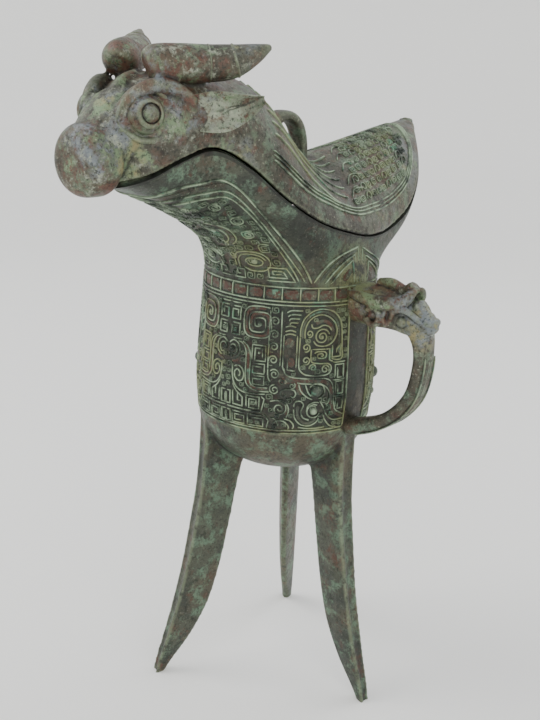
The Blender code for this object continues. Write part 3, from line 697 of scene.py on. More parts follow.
def over_axis(rows):
    """Rows of (x, z, ...) set on the handle's middle plane."""
    return [(x + AXIS.x, AXIS.y, z, *rest) for x, z, *rest in rows]


def along_ridge(rows):
    """Rows of (y, z, ...) set on the lid's middle plane."""
    return [(AXIS.x, y + AXIS.y, z, *rest) for y, z, *rest in rows]


def beside_axis(rows, side):
    """Rows of (x, y, z, ...) set on one side of the cup's axis."""
    flip = Vector((side, 1, 1))
    return [(*(Vector(row[:3]) * flip + AXIS), *row[3:]) for row in rows]


def cast_handle():
    """Strap handle with a small horned head over its upper root."""
    across = Vector((0.0, 1.0, 0.0))

    def strap_outline(row, turn, _):
        thick, wide = row[3], row[4]
        c, s = cos(turn), sin(turn)
        flat = 0.75 if thick < 0.0045 else 1.0
        groove = 0.0006 * max(s, 0.0) ** 6 if thick < 0.0060 else 0.0
        return (wide * (abs(c) ** flat) * (1 if c > 0 else -1),
                thick * (abs(s) ** 0.8) * (1 if s > 0 else -1) - groove)
    parts = [swept("strap", over_axis(smooth_path(STRAP, 60)), 28, across, strap_outline),
             swept("snout", over_axis(smooth_path(SNOUT, 14)), 18, across,
                   lambda row, turn, _: (row[4] * cos(turn), row[3] * sin(turn))),
             swept("handle crest", over_axis(smooth_path(HANDLE_CREST, 20)), 12, across,
                   round_outline)]
    parts.extend(knob(centre, radii) for centre, radii in HANDLE_LUMPS)
    for side in (1, -1):
        for path in (HANDLE_HORN, HANDLE_BROW, HANDLE_JAW, HANDLE_CHEEK):
            rows = [(x + AXIS.x, side * y + AXIS.y, z, radius)
                    for x, y, z, radius in smooth_path(path, 20)]
            parts.append(swept("handle ridge", rows, 12, across, round_outline))
        x, y, z, wide, tall, thick = HANDLE_EAR
        turns = [1.1 * pi + 1.75 * pi * k / 29 for k in range(30)]
        rows = [(x + wide * cos(turn) + AXIS.x, side * y + AXIS.y, z + tall * sin(turn), thick)
                for turn in turns]
        parts.append(swept("handle ear", rows, 12, across, round_outline))
        parts.extend(knob((x, side * y, z), radii) for (x, y, z), radii in HANDLE_SIDE_LUMPS)
    handle = join_pieces("handle", parts)
    fuse(handle, HANDLE_GRAIN, 2)
    edge_wear_light_and_shade(handle, 2)
    spread_bloom(handle)
    return handle


def knob(centre, radii):
    """Egg-shaped lump to be melted into a casting."""
    bpy.ops.mesh.primitive_uv_sphere_add(segments=20, ring_count=12, radius=1.0)
    lump = bpy.context.object
    lump.scale = radii
    lump.location = Vector(centre) + AXIS
    bpy.ops.object.transform_apply(location=True, rotation=True, scale=True)
    return lump


def cast_lid():
    """Arched lid, muzzle, brows, horns and loop melted into one casting."""
    columns, rows = 96, 150
    front, back = RIM_ALONG[0] + LID_SHORT[0], RIM_ALONG[-1] - LID_SHORT[1]

    def place(u, v):
        along = front + (back - front) * v
        share = 1 - abs(2 * u - 1)
        return lid_point(along, share, 1 if u < 0.5 else -1) + AXIS
    shell = wrapped_grid("shell", columns, rows, place)
    close_seams(shell, 0.00001)
    apply_modifier(shell, "SOLIDIFY", thickness=LID_WALL, offset=-1.0)
    profile = [(MUZZLE_FRONT, 0.0002)]
    for k in range(1, 13):
        turn = 0.5 * pi * k / 12
        profile.append((MUZZLE_FRONT + MUZZLE_ROUND * (1 - cos(turn)),
                        MUZZLE_RADIUS - MUZZLE_ROUND * (1 - sin(turn))))
    profile += [(MUZZLE_BACK + back, MUZZLE_RADIUS - inward) for back, inward in MUZZLE_END]

    def muzzle_place(u, v):
        along, radius = profile[round(v * (len(profile) - 1))]
        turn = 2 * pi * u
        return Vector((radius * cos(turn), along, MUZZLE_HEIGHT + radius * sin(turn))) + AXIS
    parts = [shell, closed_grid("muzzle", 48, len(profile) - 1, muzzle_place)]
    for side in (1, -1):
        rows = [(*row, BROW_RADIUS * (0.60 + 0.40 * sin(pi * k / 29)))
                for k, row in enumerate(beside_axis(smooth_path(BROW, 30), side))]
        parts.append(swept("brow", rows, 12, SIDEWAYS, round_outline))
        rows = beside_axis(smooth_path(HORN, 40), side)
        lift = FAR_HORN_LIFT if side < 0 else 0.0
        rows = [(x, y, z + lift * k / 39, radius) for k, (x, y, z, radius) in enumerate(rows)]
        parts.append(swept("horn", rows, 24, SIDEWAYS, round_outline))
    parts += [swept("snout root", along_ridge(smooth_path(SNOUT_ROOT, 20)), 40, SIDEWAYS,
                    round_outline),
              swept("nose ridge", [(*row, NOSE_RIDGE_RADIUS)
                                   for row in along_ridge(smooth_path(NOSE_RIDGE, 20))],
                    12, SIDEWAYS, round_outline),
              swept("loop", along_ridge(smooth_path(LOOP, 40)), 16, SIDEWAYS,
                    lambda row, turn, _: (LOOP_HALF_WIDTH * bowed(cos(turn)),
                                          LOOP_HALF_THICKNESS * bowed(sin(turn))))]
    lid = join_pieces("lid_casting", parts)
    fuse(lid, LID_GRAIN, 2)
    cup = bpy.data.objects["cup"]
    for piece, support in ((lid, cup), (cup, lid), (lid, cup), (cup, lid)):
        keep_clear(piece, support, LID_CLEARANCE)
    edge_wear_light_and_shade(lid, 2)
    # Painted shadow along the joint over the cup's rim
    paint_joint_shadow(lid, 0.0012)
    return lid


def cast_ear(side):
    """Leaf-shaped ear, hollow on its outer face within a raised rim."""
    rows = beside_axis(smooth_path(EAR, 40), side)

    def outline(row, turn, v):
        tall = row[3]
        thick = 0.0020 * min(1.0, tall / 0.003)
        out, up = cos(turn), sin(turn)
        if out > 0:
            slit = max(0.0, 1.0 - abs(up - 0.05) / 0.16) * max(0.0, 1.0 - abs(v - 0.60) / 0.30)
            out = 0.55 * abs(up) ** 3 - 0.75 * max(0.0, 1 - (up / 0.85) ** 2) - 0.5 * slit
        return side * thick * out, tall * up
    return swept("ear", rows, 40, SIDEWAYS, outline)


def cast_ears():
    """Both ears, standing clear of the head."""
    ears = join_pieces("ears", [cast_ear(side) for side in (1, -1)])
    edge_wear_light_and_shade(ears, 1)
    shade(ears, 50)
    return ears


def spread_crust_and_sheen(piece, whole=0.0):
    """Pale crust and a painted blue-grey sheen on the head, none on the neck and a little on the
    tail.
    """
    values = []
    for vertex in piece.data.vertices:
        y = vertex.co.y - AXIS.y
        values.append(max(fade((-0.052 - y) / 0.022), 0.45 * fade((y - 0.005) / 0.02), whole))
    paint(piece, "crust", values)


def spread_bloom(piece):
    """Yellow-green deposit round the handle's upper root, and pale crust and a painted blue-grey
    sheen on its head.
    """
    root = Vector((0.036, -0.004, 0.1845)) + AXIS
    places = [vertex.co for vertex in piece.data.vertices]
    paint(piece, "crust", [fade((place.z - 0.158) / 0.010) for place in places])
    paint(piece, "bloom", [fade(1.30 - (place - root).length / 0.0145) for place in places])


def paint_joint_shadow(piece, reach):
    """Painted shadow: mark what lies along the joint between the lid and the cup as a shaded
    corner, for the finish to darken.
    """
    values = np.empty(len(piece.data.vertices))
    piece.data.attributes["wear_light_and_shade"].data.foreach_get("value", values)
    for index, vertex in enumerate(piece.data.vertices):
        point = vertex.co - AXIS
        edge = np.interp(point.y, RIM_ALONG, RIM_HEIGHT)
        half = np.interp(point.y, RIM_ALONG, RIM_HALF)
        if abs(point.z - edge) < reach and abs(point.x) > 0.7 * half and point.y > RIM_ALONG[0]:
            # Painted shadow in the gap under the lid's edge
            values[index] = -0.8
    paint(piece, "wear_light_and_shade", values)


# Finishes

class Patina:
    """A bronze surface built up in coats, each one laid through a product of masks."""

    def __init__(self, name, ground):
        self.made = bpy.data.materials.new(name)
        self.made.use_nodes = True
        self.nodes, self.links = self.made.node_tree.nodes, self.made.node_tree.links
        self.place = self.node("TexCoord", "Object")
        self.colour = (*ground, 1.0)
        self.broad = self.noise(48, 7, 0.68)
        self.patch = self.noise(120, 7, 0.68, 1.3)
        self.spots = self.noise(330, 6, 0.72, 2.1)
        self.grain = self.noise(900, 4, 0.7, 3.7)
        self.red = self.noise(90, 7, 0.70, 5.2)
        self.brown = self.noise(30, 5, 0.64, 7.9)
        self.crust = self.noise(170, 8, 0.76, 9.4)

    def node(self, kind, output, inputs=None, **settings):
        """Add a node, set or link its inputs and give one of its outputs."""
        node = self.nodes.new("ShaderNode" + kind)
        for key, value in settings.items():
            setattr(node, key, value)
        for key, value in (inputs or {}).items():
            if isinstance(value, bpy.types.NodeSocket):
                self.links.new(value, node.inputs[key])
            else:
                node.inputs[key].default_value = value
        return node.outputs[output]

    def noise(self, scale, detail, rough, shift=0.0):
        moved = self.node("Mapping", "Vector", {"Vector": self.place,
                                                "Location": (shift, shift * 0.7, -shift)})
        return self.node("TexNoise", "Fac", {"Vector": moved, "Scale": scale, "Detail": detail,
                                             "Roughness": rough})

    def ramp(self, value, low, high, top=1.0):
        return self.node("MapRange", "Result", {"Value": value, "From Min": low, "From Max": high,
                                                "To Max": top}, interpolation_type="SMOOTHSTEP")

    def stored(self, label):
        return self.node("Attribute", "Fac", attribute_name=label)

    def maths(self, kind, one, two):
        return self.node("Math", "Value", {0: one, 1: two}, operation=kind, use_clamp=True)

    def times(self, *values):
        product = values[0]
        for value in values[1:]:
            product = self.maths("MULTIPLY", product, value)
        return product

    def coat(self, tint, *masks):
        """Lay a colour over the coats below it."""
        self.colour = self.node("Mix", "Result", {"Factor": self.times(*masks), "A": self.colour,
                                                  "B": (*tint, 1.0)}, data_type="RGBA")

    def finish(self):
        """Join the coats to the shader, with worn metal's roughness and a grained surface."""
        shader = self.nodes["Principled BSDF"]
        rough = self.node("MapRange", "Result", {"Value": self.spots, "From Min": 0.3,
                                                 "From Max": 0.7, "To Min": 0.36, "To Max": 0.66})
        height = self.maths("ADD", self.times(self.spots, 0.7), self.times(self.grain, 0.3))
        bump = self.node("Bump", "Normal", {"Strength": 0.7, "Distance": 0.0006, "Height": height})
        for label, value in (("Base Color", self.colour), ("Roughness", rough), ("Normal", bump)):
            self.links.new(value, shader.inputs[label])
        shader.inputs["Metallic"].default_value = 0.30
        return self.made


def bronze_finish(name, ground, flat, green, deposit, rust, warm=0.3, pale=0.0):
    """Patinated bronze: brown and grey ground, malachite, red oxide and pale crust over it, with a
    painted blue-grey sheen on the head, edges lightened partly by a painted highlight, and painted
    shade in the corners.
    """
    skin = Patina(name, ground)
    ramp, coat, wear_light_and_shade = skin.ramp, skin.coat, skin.stored("wear_light_and_shade")
    broad, patch, spots, red, brown = skin.broad, skin.patch, skin.spots, skin.red, skin.brown
    coat(flat, ramp(broad, 0.42, 0.58))
    coat((0.088, 0.066, 0.038), ramp(brown, 0.47, 0.60), warm)
    coat([c * 0.40 for c in ground], ramp(spots, 0.52, 0.64, 0.65))
    coat((0.098, 0.042, 0.028), ramp(red, 0.53, 0.62), ramp(spots, 0.38, 0.56), rust)
    coat((0.130, 0.215, 0.140), ramp(patch, 0.48, 0.60), ramp(spots, 0.38, 0.54), green)
    coat((0.105, 0.255, 0.190), ramp(red, 0.36, 0.30), ramp(spots, 0.50, 0.58), 0.65)
    coat([c * 0.30 for c in ground], skin.stored("shade"), ramp(patch, 0.30, 0.52), 0.85)
    if pale:
        head = skin.times(skin.stored("crust"), pale)
        # Painted sheen: blue-grey patches on the head, standing in for light on the metal
        coat((0.160, 0.185, 0.200), ramp(broad, 0.50, 0.62), ramp(patch, 0.56, 0.44), head)
        coat((0.310, 0.335, 0.255), ramp(skin.crust, 0.52, 0.64), ramp(spots, 0.42, 0.56), head)
        coat((0.155, 0.225, 0.120), ramp(patch, 0.50, 0.60), ramp(red, 0.56, 0.46), head)
        coat((0.260, 0.220, 0.105), ramp(brown, 0.46, 0.38), ramp(patch, 0.48, 0.60), head)
        coat((0.110, 0.050, 0.034), ramp(brown, 0.46, 0.56), ramp(skin.crust, 0.52, 0.42), head)
    coat((0.215, 0.235, 0.110), skin.stored("bloom"), ramp(patch, 0.42, 0.54), 0.7)
    # Pits, worn edges lightened partly by a painted highlight, specks of deposit, and painted shade
    # in the corners and along the joint under the lid
    coat((0.020, 0.021, 0.017), ramp(skin.grain, 0.46, 0.37, 0.8))
    # Pale edges: partly wear, partly a painted highlight on whatever stands out
    coat((0.200, 0.240, 0.150), ramp(wear_light_and_shade, 0.10, 0.55), ramp(spots, 0.36, 0.52), 0.50)
    coat((0.350, 0.350, 0.255), ramp(skin.grain, 0.59, 0.70), deposit)
    # Painted shade: corners and the joint under the lid darkened almost to black
    coat((0.010, 0.011, 0.009), ramp(skin.times(wear_light_and_shade, -1.0), 0.08, 0.45), 0.75)
    return skin.finish()


def ornament_finish(name, line, ground):
    """Raised lines: pale green crests, dark green roots and red-brown flats."""
    skin = Patina(name, ground)
    ramp, coat, tone = skin.ramp, skin.coat, skin.stored("tone")
    coat(line, tone, ramp(skin.patch, 0.36, 0.60))
    coat((0.240, 0.260, 0.120), tone, ramp(skin.brown, 0.50, 0.60, 0.8))
    coat((0.120, 0.330, 0.215), ramp(skin.red, 0.42, 0.34), 0.55)
    coat((0.072, 0.030, 0.020), skin.stored("red"), ramp(skin.spots, 0.40, 0.56))
    coat([c * 0.5 for c in ground], ramp(skin.spots, 0.56, 0.66, 0.7))
    coat((0.32, 0.38, 0.24), ramp(skin.grain, 0.57, 0.68), 0.40)
    return skin.finish()


def give(piece, finish, node_slot, *nodes):
    """Dress a finished casting and set it on the frame."""
    piece.data.materials.clear()
    piece.data.materials.append(finish)
    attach(piece, "root")
    if nodes:
        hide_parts(*nodes)


# Ornament motifs, in mm: u to the right and w downward on the panel

LINE_HALF = 0.00036
LINE_RISE = 0.00058


def square_spiral(left, top, right, bottom, corner=0, hand=1, pitch=1.25):
    """Corners of a square spiral wound inward from one corner, 0 being top left."""
    box = [left, top, right, bottom]

    def at(index):
        return ((box[0], box[1]), (box[2], box[1]), (box[2], box[3]), (box[0], box[3]))[index % 4]
    points = [at(corner)]
    index = corner
    # The side just drawn moves inward: top, right, bottom, left for the clockwise order
    while box[2] - box[0] > pitch * 0.8 and box[3] - box[1] > pitch * 0.8 and len(points) < 12:
        step = index % 4 if hand > 0 else (index - 1) % 4
        index += hand
        points.append(at(index))
        side = (1, 2, 3, 0)[step]
        box[side] += pitch if side in (0, 1) else -pitch
    return points


def curl(u, w, radius, start, hand, turns=1.35, inner=0.22, squareness=2.0, tall=1.0):
    """Points of a spiral wound inward; start in degrees from the right, counter to the clock."""
    steps = max(10, round(14 * turns))
    points = []
    for k in range(steps + 1):
        turn = radians(start) + hand * 2 * pi * turns * k / steps
        size = radius * (1 - (1 - inner) * k / steps)
        c, s = cos(turn), sin(turn)
        points.append((u + size * abs(c) ** (2 / squareness) * (1 if c > 0 else -1),
                       w - size * tall * abs(s) ** (2 / squareness) * (1 if s > 0 else -1)))
    return points


class Pen:
    """Draws lines, flats and bosses of one ornament through a place function."""

    def __init__(self, sheet, place, half=LINE_HALF, rise=LINE_RISE, step=0.45):
        self.sheet, self.place = sheet, place
        self.half, self.rise, self.step = half, rise, step

    def line(self, points, curved=True, half=None, tone=1.0):
        laid = [self.place(u, w) for u, w in even_line(points, self.step, curved)]
        self.sheet.strip(laid, half or self.half, self.rise, ROOT_DEPTH, tone, 0.0)

    def angular(self, points):
        self.line(points, curved=False)

    def flat(self, points, width, red=1.0, rise=0.00026, curved=True):
        laid = [self.place(u, w) for u, w in even_line(points, self.step * 1.3, curved)]
        self.sheet.strip(laid, width * 0.0005, rise, ROOT_DEPTH, 0.12, red, 0.85)

    def square(self, *box, **how):
        self.angular(square_spiral(*box, **how))

    def curl(self, *form, **how):
        self.line(curl(*form, **how))

    def boss(self, u, w, radius, rise, tone=0.2, red=0.0):
        self.sheet.boss(self.place(u, w), radius, rise, tone, red)


def draw_mask(pen):
    """Half a mask on a quarter of the belly, from the spout's line to the handle."""
    # Frame lines above and below
    for w in (11.7, 10.3, 62.7, 64.0):
        pen.angular(((7.1, w), (59.0, w)))
    pen.angular(((59.0, 11.7), (59.0, 62.7)))
    # Hooked squares along the spout's side
    pen.square(8.2, 14.4, 12.2, 19.4)
    pen.square(8.4, 21.0, 12.2, 25.6)
    pen.angular(((9.2, 27.1), (13.4, 27.1)))
    pen.angular(((7.4, 12.9), (12.2, 12.9)))
    # Large rounded-square horn spiral
    pen.curl(20.4, 19.8, 7.2, 62, 1, turns=2.75, inner=0.10, squareness=3.2, tall=0.98)
    pen.flat(curl(20.4, 19.8, 6.1, 75, 1, turns=1.45, inner=0.48, squareness=3.2), 1.1)
    pen.boss(20.8, 20.0, 0.0011, 0.0011, tone=0.9)
    # Column of curls with its two borders
    for w in (18.2, 23.4, 28.3, 33.6):
        pen.curl(27.1, w, 1.9, 200, -1, turns=1.45)
        pen.angular(((25.4, w + 2.3), (26.8, w + 2.3)))
    pen.curl(27.9, 39.3, 2.1, 150, -1, turns=1.5)
    pen.curl(28.2, 45.6, 2.1, 90, 1, turns=1.5)
    pen.line(((25.0, 14.0), (25.0, 24), (25.1, 36), (25.4, 40.5), (26.4, 42.6)))
    pen.line(((29.6, 14.0), (29.8, 24), (29.9, 36)))
    # Squares under the horn spiral
    pen.square(18.4, 28.4, 24.0, 34.6, corner=3)
    pen.boss(21.2, 31.5, 0.0006, 0.0008, tone=1.0)
    pen.square(19.0, 35.8, 23.8, 39.7)
    pen.square(19.3, 40.7, 23.9, 44.3)
    # Curved flat that drops from the C-shaped scroll and sweeps below the squares
    pen.line(((11.8, 28.0), (13.6, 28.3), (15.2, 30.0), (15.9, 33), (16.0, 41), (16.6, 44.4),
              (19.0, 46.3), (22.5, 46.9), (26.3, 46.7)))
    pen.line(((14.0, 27.7), (16.2, 29.2), (17.5, 31.6), (17.8, 35), (17.8, 41.5), (18.4, 44.2),
              (20.6, 45.3), (25.6, 45.2)))
    pen.flat(((13.2, 28.0), (15.4, 29.8), (16.7, 32.6), (16.9, 41), (17.6, 44.6), (20.2, 45.9),
              (25.4, 46.0)), 1.15)
    pen.line(((7.6, 29.4), (9.6, 28.0), (12.0, 28.9), (13.0, 31.4), (12.4, 33.8), (10.4, 35.3)))
    pen.line(((7.6, 31.4), (9.2, 29.8), (11.0, 30.4), (11.5, 32.2), (10.5, 33.7), (8.9, 33.2)))
    pen.flat(((9.2, 36.6), (11.0, 36.3), (12.9, 35.4)), 1.0)
    # Drop-shaped scroll and the wing below it
    pen.line(((9.9, 37.6), (10.0, 41.6), (10.8, 44.8), (12.6, 47.0), (15.6, 48.3), (19.6, 48.3),
              (24.6, 47.9)))
    pen.line(((10.6, 38.6), (12.6, 37.8), (14.6, 39.0), (15.3, 41.4), (14.5, 43.6), (12.7, 44.0),
              (11.2, 42.4), (11.2, 40.4), (12.4, 39.4), (13.6, 40.6), (13.4, 42.0), (12.6, 41.8)))
    pen.line(((10.5, 45.6), (12.0, 48.0), (14.0, 49.6)))
    # Squares at the foot of the panel
    pen.angular(((10.6, 48.4), (10.8, 54.2), (15.2, 54.4), (15.2, 50.6), (13.0, 48.8),
                 (13.0, 52.2), (14.0, 52.4)))
    pen.square(16.9, 49.4, 22.4, 54.4, corner=3)
    pen.boss(19.4, 51.9, 0.0006, 0.0008, tone=1.0)
    pen.angular(((7.6, 55.6), (23.2, 55.8), (24.4, 50.0), (23.0, 48.9)))
    pen.square(10.4, 57.2, 16.0, 62.0, corner=1, hand=-1)
    pen.square(17.6, 57.2, 24.2, 61.8, corner=1, hand=-1)
    pen.angular(((24.4, 56.4), (26.4, 59.0), (25.6, 62.4)))
    pen.square(7.4, 49.0, 9.4, 54.4, pitch=1.0)
    pen.square(7.4, 57.2, 9.4, 62.0, pitch=1.0)
    # Nose ridge between the curls
    pen.flat(((33.2, 24.6), (33.2, 28.4)), 4.4, red=0.9, curved=False)
    pen.flat(((33.4, 29.2), (33.4, 31.0)), 3.2, red=0.2, curved=False)
    pen.flat(((34.2, 32.4), (34.2, 36.2)), 3.2, red=0.9, curved=False)
    pen.angular(((30.9, 23.4), (30.9, 36.2), (32.0, 38.6)))
    pen.angular(((32.8, 33.0), (32.8, 37.2), (36.0, 37.6)))
    pen.angular(((36.2, 23.6), (36.2, 36.4)))
    for w in (20.2, 22.0, 23.4):
        pen.line(((31.2, w), (33.4, w - 0.6), (35.6, w)))
    for w in (13.6, 15.2, 16.8, 18.4):
        pen.line(((31.4 + (w - 13) * 0.3, w + 1.0), (33.4, w), (38.2 - (w - 13) * 0.35, w)))
    # Great horn sweeping over the eye
    pen.line(((37.4, 24), (37.4, 20.5), (38.8, 16.6), (42.0, 13.8), (46.2, 12.9), (51.2, 14.2),
              (54.4, 17.6), (55.4, 22), (55.6, 28), (56.0, 32.6), (53.6, 33.6), (50.9, 32.9)))
    pen.line(((39.2, 24.6), (39.2, 20.8), (40.9, 17.2), (44.6, 15.2), (48.6, 15.9), (51.9, 18.6),
              (52.9, 22.4), (51.2, 26.0), (48.0, 27.6), (44.4, 27.3), (42.8, 25.6)))
    pen.flat(((38.3, 24.6), (38.3, 20.6), (39.9, 16.9), (43.3, 14.5), (47.4, 14.2), (51.6, 16.4),
              (53.9, 20.4), (54.2, 25.5), (54.3, 30.8)), 0.9, red=0.25)
    pen.line(((41.6, 18.8), (42.4, 20.4), (44.6, 20.2), (46.6, 19.3), (49.0, 19.9), (50.4, 21.6)))
    pen.flat(((43.6, 18.6), (46.6, 17.6), (49.6, 19.0), (51.2, 22.0)), 1.5, red=1.0)
    pen.curl(46.3, 23.9, 3.3, 15, 1, turns=1.9, inner=0.14)
    pen.boss(46.4, 23.9, 0.0007, 0.0010, tone=1.0)
    # Curls inside the horn's stem and along the lip
    pen.curl(41.0, 22.6, 1.5, 250, 1, turns=1.3)
    for form in ((39.9, 28.1, 1.8, 250, 1), (40.0, 33.3, 1.8, 230, 1), (43.0, 36.3, 1.6, 200, -1),
                 (48.2, 37.1, 1.9, 330, 1)):
        pen.curl(*form, turns=1.4)
    pen.line(((37.3, 24), (37.2, 34.6), (38.2, 37.8), (41.2, 39.3), (47.8, 39.5), (50.4, 38.4),
              (50.8, 36.2), (49.4, 34.9), (45.2, 34.6), (42.2, 33.6), (42.0, 28.8)))
    # Square scroll below the horn's curl
    pen.angular(((42.4, 28.9), (49.9, 28.9), (50.0, 33.4), (52.0, 34.4)))
    pen.curl(46.2, 31.4, 2.9, 160, -1, turns=1.7, inner=0.15, squareness=2.8, tall=0.62)
    # Hooked squares along the handle's side
    pen.angular(((51.2, 27.6), (51.0, 32.4), (55.0, 32.2), (55.0, 27.4), (53.2, 29.2),
                 (53.2, 30.8)))
    for box in ((52.8, 35.6, 56.9, 41.0), (53.3, 42.6, 57.0, 47.8), (53.7, 49.6, 57.3, 54.2)):
        pen.square(*box, corner=3)
    for w in (34.6, 41.9, 48.7):
        pen.angular(((52.0, w), (58.0, w)))
    # Lip that runs from the nose over the eye and down to the corner of the jaw
    pen.line(((31.6, 36.8), (32.2, 39.0), (35.2, 40.2), (41.0, 40.7), (48.4, 40.9), (51.4, 42.8),
              (52.4, 46.6), (52.8, 51.0), (54.2, 54.6), (58.6, 57.2)))
    pen.line(((37.0, 42.3), (38.4, 42.6), (46.6, 43.3), (49.8, 45.2), (50.8, 48.4), (50.2, 51.4),
              (49.2, 51.6)))
    pen.flat(((32.4, 39.9), (36.6, 41.5), (42.0, 41.8), (48.0, 42.2), (50.8, 44.4), (51.7, 48),
              (51.8, 51.5), (53.6, 55.4), (58.4, 58.2)), 1.5, red=0.8)
    # Eye
    pen.line(((37.6, 42.9), (38.8, 46.0), (41.4, 48.4), (43.6, 49.4)))
    pen.line(((40.4, 43.2), (41.6, 46.4), (43.0, 48.0)))
    pen.boss(45.2, 45.9, 0.0026, 0.0024, tone=0.15)
    pen.curl(45.2, 46.0, 3.4, 150, -1, turns=0.62, inner=0.96)
    # Snout, jaw scroll and the swoop to the panel's corner
    pen.line(((36.2, 52.4), (36.6, 50.4), (38.6, 49.9), (40.0, 51.3), (39.6, 53.0), (39.2, 54.6),
              (40.2, 57.0), (42.8, 58.2)))
    pen.line(((41.4, 54.6), (42.0, 51.8), (44.2, 50.6), (46.4, 50.8)))
    pen.curl(44.4, 54.4, 2.9, 60, 1, turns=0.8, inner=0.9)
    pen.boss(44.5, 54.5, 0.0017, 0.0016, tone=1.0)
    pen.line(((46.8, 50.2), (48.4, 52.8), (50.4, 56.6), (53.6, 58.9), (58.6, 58.9)))
    pen.line(((46.6, 57.2), (48.2, 55.8), (49.8, 58.6), (52.4, 61.4), (55.6, 62.2)))
    pen.line(((36.2, 53.4), (36.9, 57.2), (39.4, 60.0), (43.0, 60.6), (45.8, 59.2), (46.8, 57.4)))
    pen.flat(((37.8, 52.0), (38.0, 56.2), (40.0, 59.0), (43.4, 59.6), (45.8, 57.4)), 1.2, red=0.2)
    pen.line(((38.4, 61.2), (44.0, 61.9), (50.0, 61.6)))
    # Small scrolls between nose and jaw, on red ground
    pen.flat(((29.6, 42.6), (33.6, 41.8), (37.0, 43.2), (38.8, 47.4)), 2.6, red=1.0, rise=0.0001)
    pen.curl(31.1, 42.2, 1.2, 100, 1)
    pen.curl(35.1, 43.6, 1.3, 60, -1)
    pen.line(((31.6, 48.4), (30.7, 47.2), (31.4, 45.6), (33.6, 45.2), (35.8, 45.4), (36.7, 47.0),
              (35.8, 48.5), (34.7, 47.8)))
    pen.line(((31.6, 48.4), (32.6, 47.9), (32.4, 47.0)))
    # Lower scroll with its tail
    pen.curl(30.5, 53.4, 3.1, 100, -1, turns=1.75, inner=0.14)
    pen.line(((26.6, 50.6), (28.8, 50.0), (31.6, 49.9), (33.6, 51.6), (34.2, 54.4), (33.4, 57.2)))
    pen.flat(((32.6, 50.9), (33.6, 53.4), (33.2, 56.2)), 1.2, red=1.0, rise=0.0001)
    pen.line(((32.6, 57.6), (35.0, 58.4), (36.6, 60.4), (36.2, 62.2)))
    pen.line(((28.0, 60.2), (30.2, 58.6), (32.8, 59.0), (34.6, 61.0), (34.4, 62.5)))
    pen.line(((27.0, 57.6), (29.2, 58.2), (30.4, 61.0)))


BRICK_COUNT = 32


def draw_bricks(pen):
    """Belt of raised bricks with pale joints round the neck's foot."""
    for k in range(BRICK_COUNT):
        centre = 360 / BRICK_COUNT * (k + 0.5)
        half = 360 / BRICK_COUNT * 0.5
        pen.flat(((centre - half + 1.0, 0), (centre + half - 1.0, 0)), 4.0, red=1.0, rise=0.00035,
                 curved=False)
        pen.angular(((centre + half, -2.7), (centre + half, 2.7)))
    for height in (-2.75, 2.75):
        pen.angular([(angle, height) for angle in range(0, 361, 5)])


def draw_leaf(pen):
    """Half of the leaf under the spout; the other half mirrors it."""
    border = ((-91, 0.83), (-84, 0.83), (-78, 0.85), (-74, 0.85), (-68, 0.82), (-62, 0.80),
              (-56, 0.74), (-52, 0.60), (-49, 0.42), (-45, 0.24), (-38.5, 0.03))
    pen.line(border, half=0.00050)
    inner = ((-91, 0.75), (-84, 0.76), (-76, 0.775), (-69, 0.75), (-63, 0.72), (-59, 0.65),
             (-56, 0.52), (-53.5, 0.36), (-49.5, 0.20), (-42.5, 0.035))
    pen.line(inner)
    pen.line(((-91, 0.715), (-84, 0.72), (-76, 0.73), (-69, 0.71), (-64, 0.68), (-61, 0.60),
              (-58.5, 0.50), (-56, 0.35), (-52.5, 0.20), (-46.5, 0.04)))
    pen.flat(((-91, 0.79), (-84, 0.795), (-76, 0.812), (-68, 0.785), (-61, 0.75), (-56.5, 0.66),
              (-53.5, 0.49), (-51, 0.33), (-46, 0.17), (-40.5, 0.035)), 1.6, red=0.35,
             rise=0.00018)


def local_pen(sheet, place, a, b, da, db):
    """Pen in mm round a place on a wall; da and db are small steps of the wall's own measures."""
    wide = (place(a + da, b)[0] - place(a - da, b)[0]).length * 500 / da
    tall = (place(a, b + db)[0] - place(a, b - db)[0]).length * 500 / db
    return Pen(sheet, lambda u, w: place(a + u / wide, b - w / tall))


def fill_ground(sheet, place, across, upward, da, db, clear, largest):
    """Small hooked spirals wherever the ornament leaves the wall bare."""
    cells = sorted(((a, b) for a in across for b in upward), key=lambda cell: (cell[1], cell[0]))
    spots = np.array([place(a, b)[0] for a, b in cells])
    taken = np.array(sheet.taken)
    room = np.array([np.sqrt(((taken - spot) ** 2).sum(1).min()) for spot in spots])
    for index, (a, b) in enumerate(cells):
        if room[index] < clear:
            continue
        size = min((room[index] - 0.0004) * 1000, largest)
        local_pen(sheet, place, a, b, da, db).line(
            curl(0, 0, size, 40 + 90 * (index % 4), 1 if index % 2 else -1, turns=1.5,
                 inner=0.2, squareness=3.4), half=0.00030, tone=0.45)
        drawn = np.sqrt(((spots - spots[index]) ** 2).sum(1)) - size * 0.00105
        room = np.minimum(room, np.maximum(drawn, 0.0))


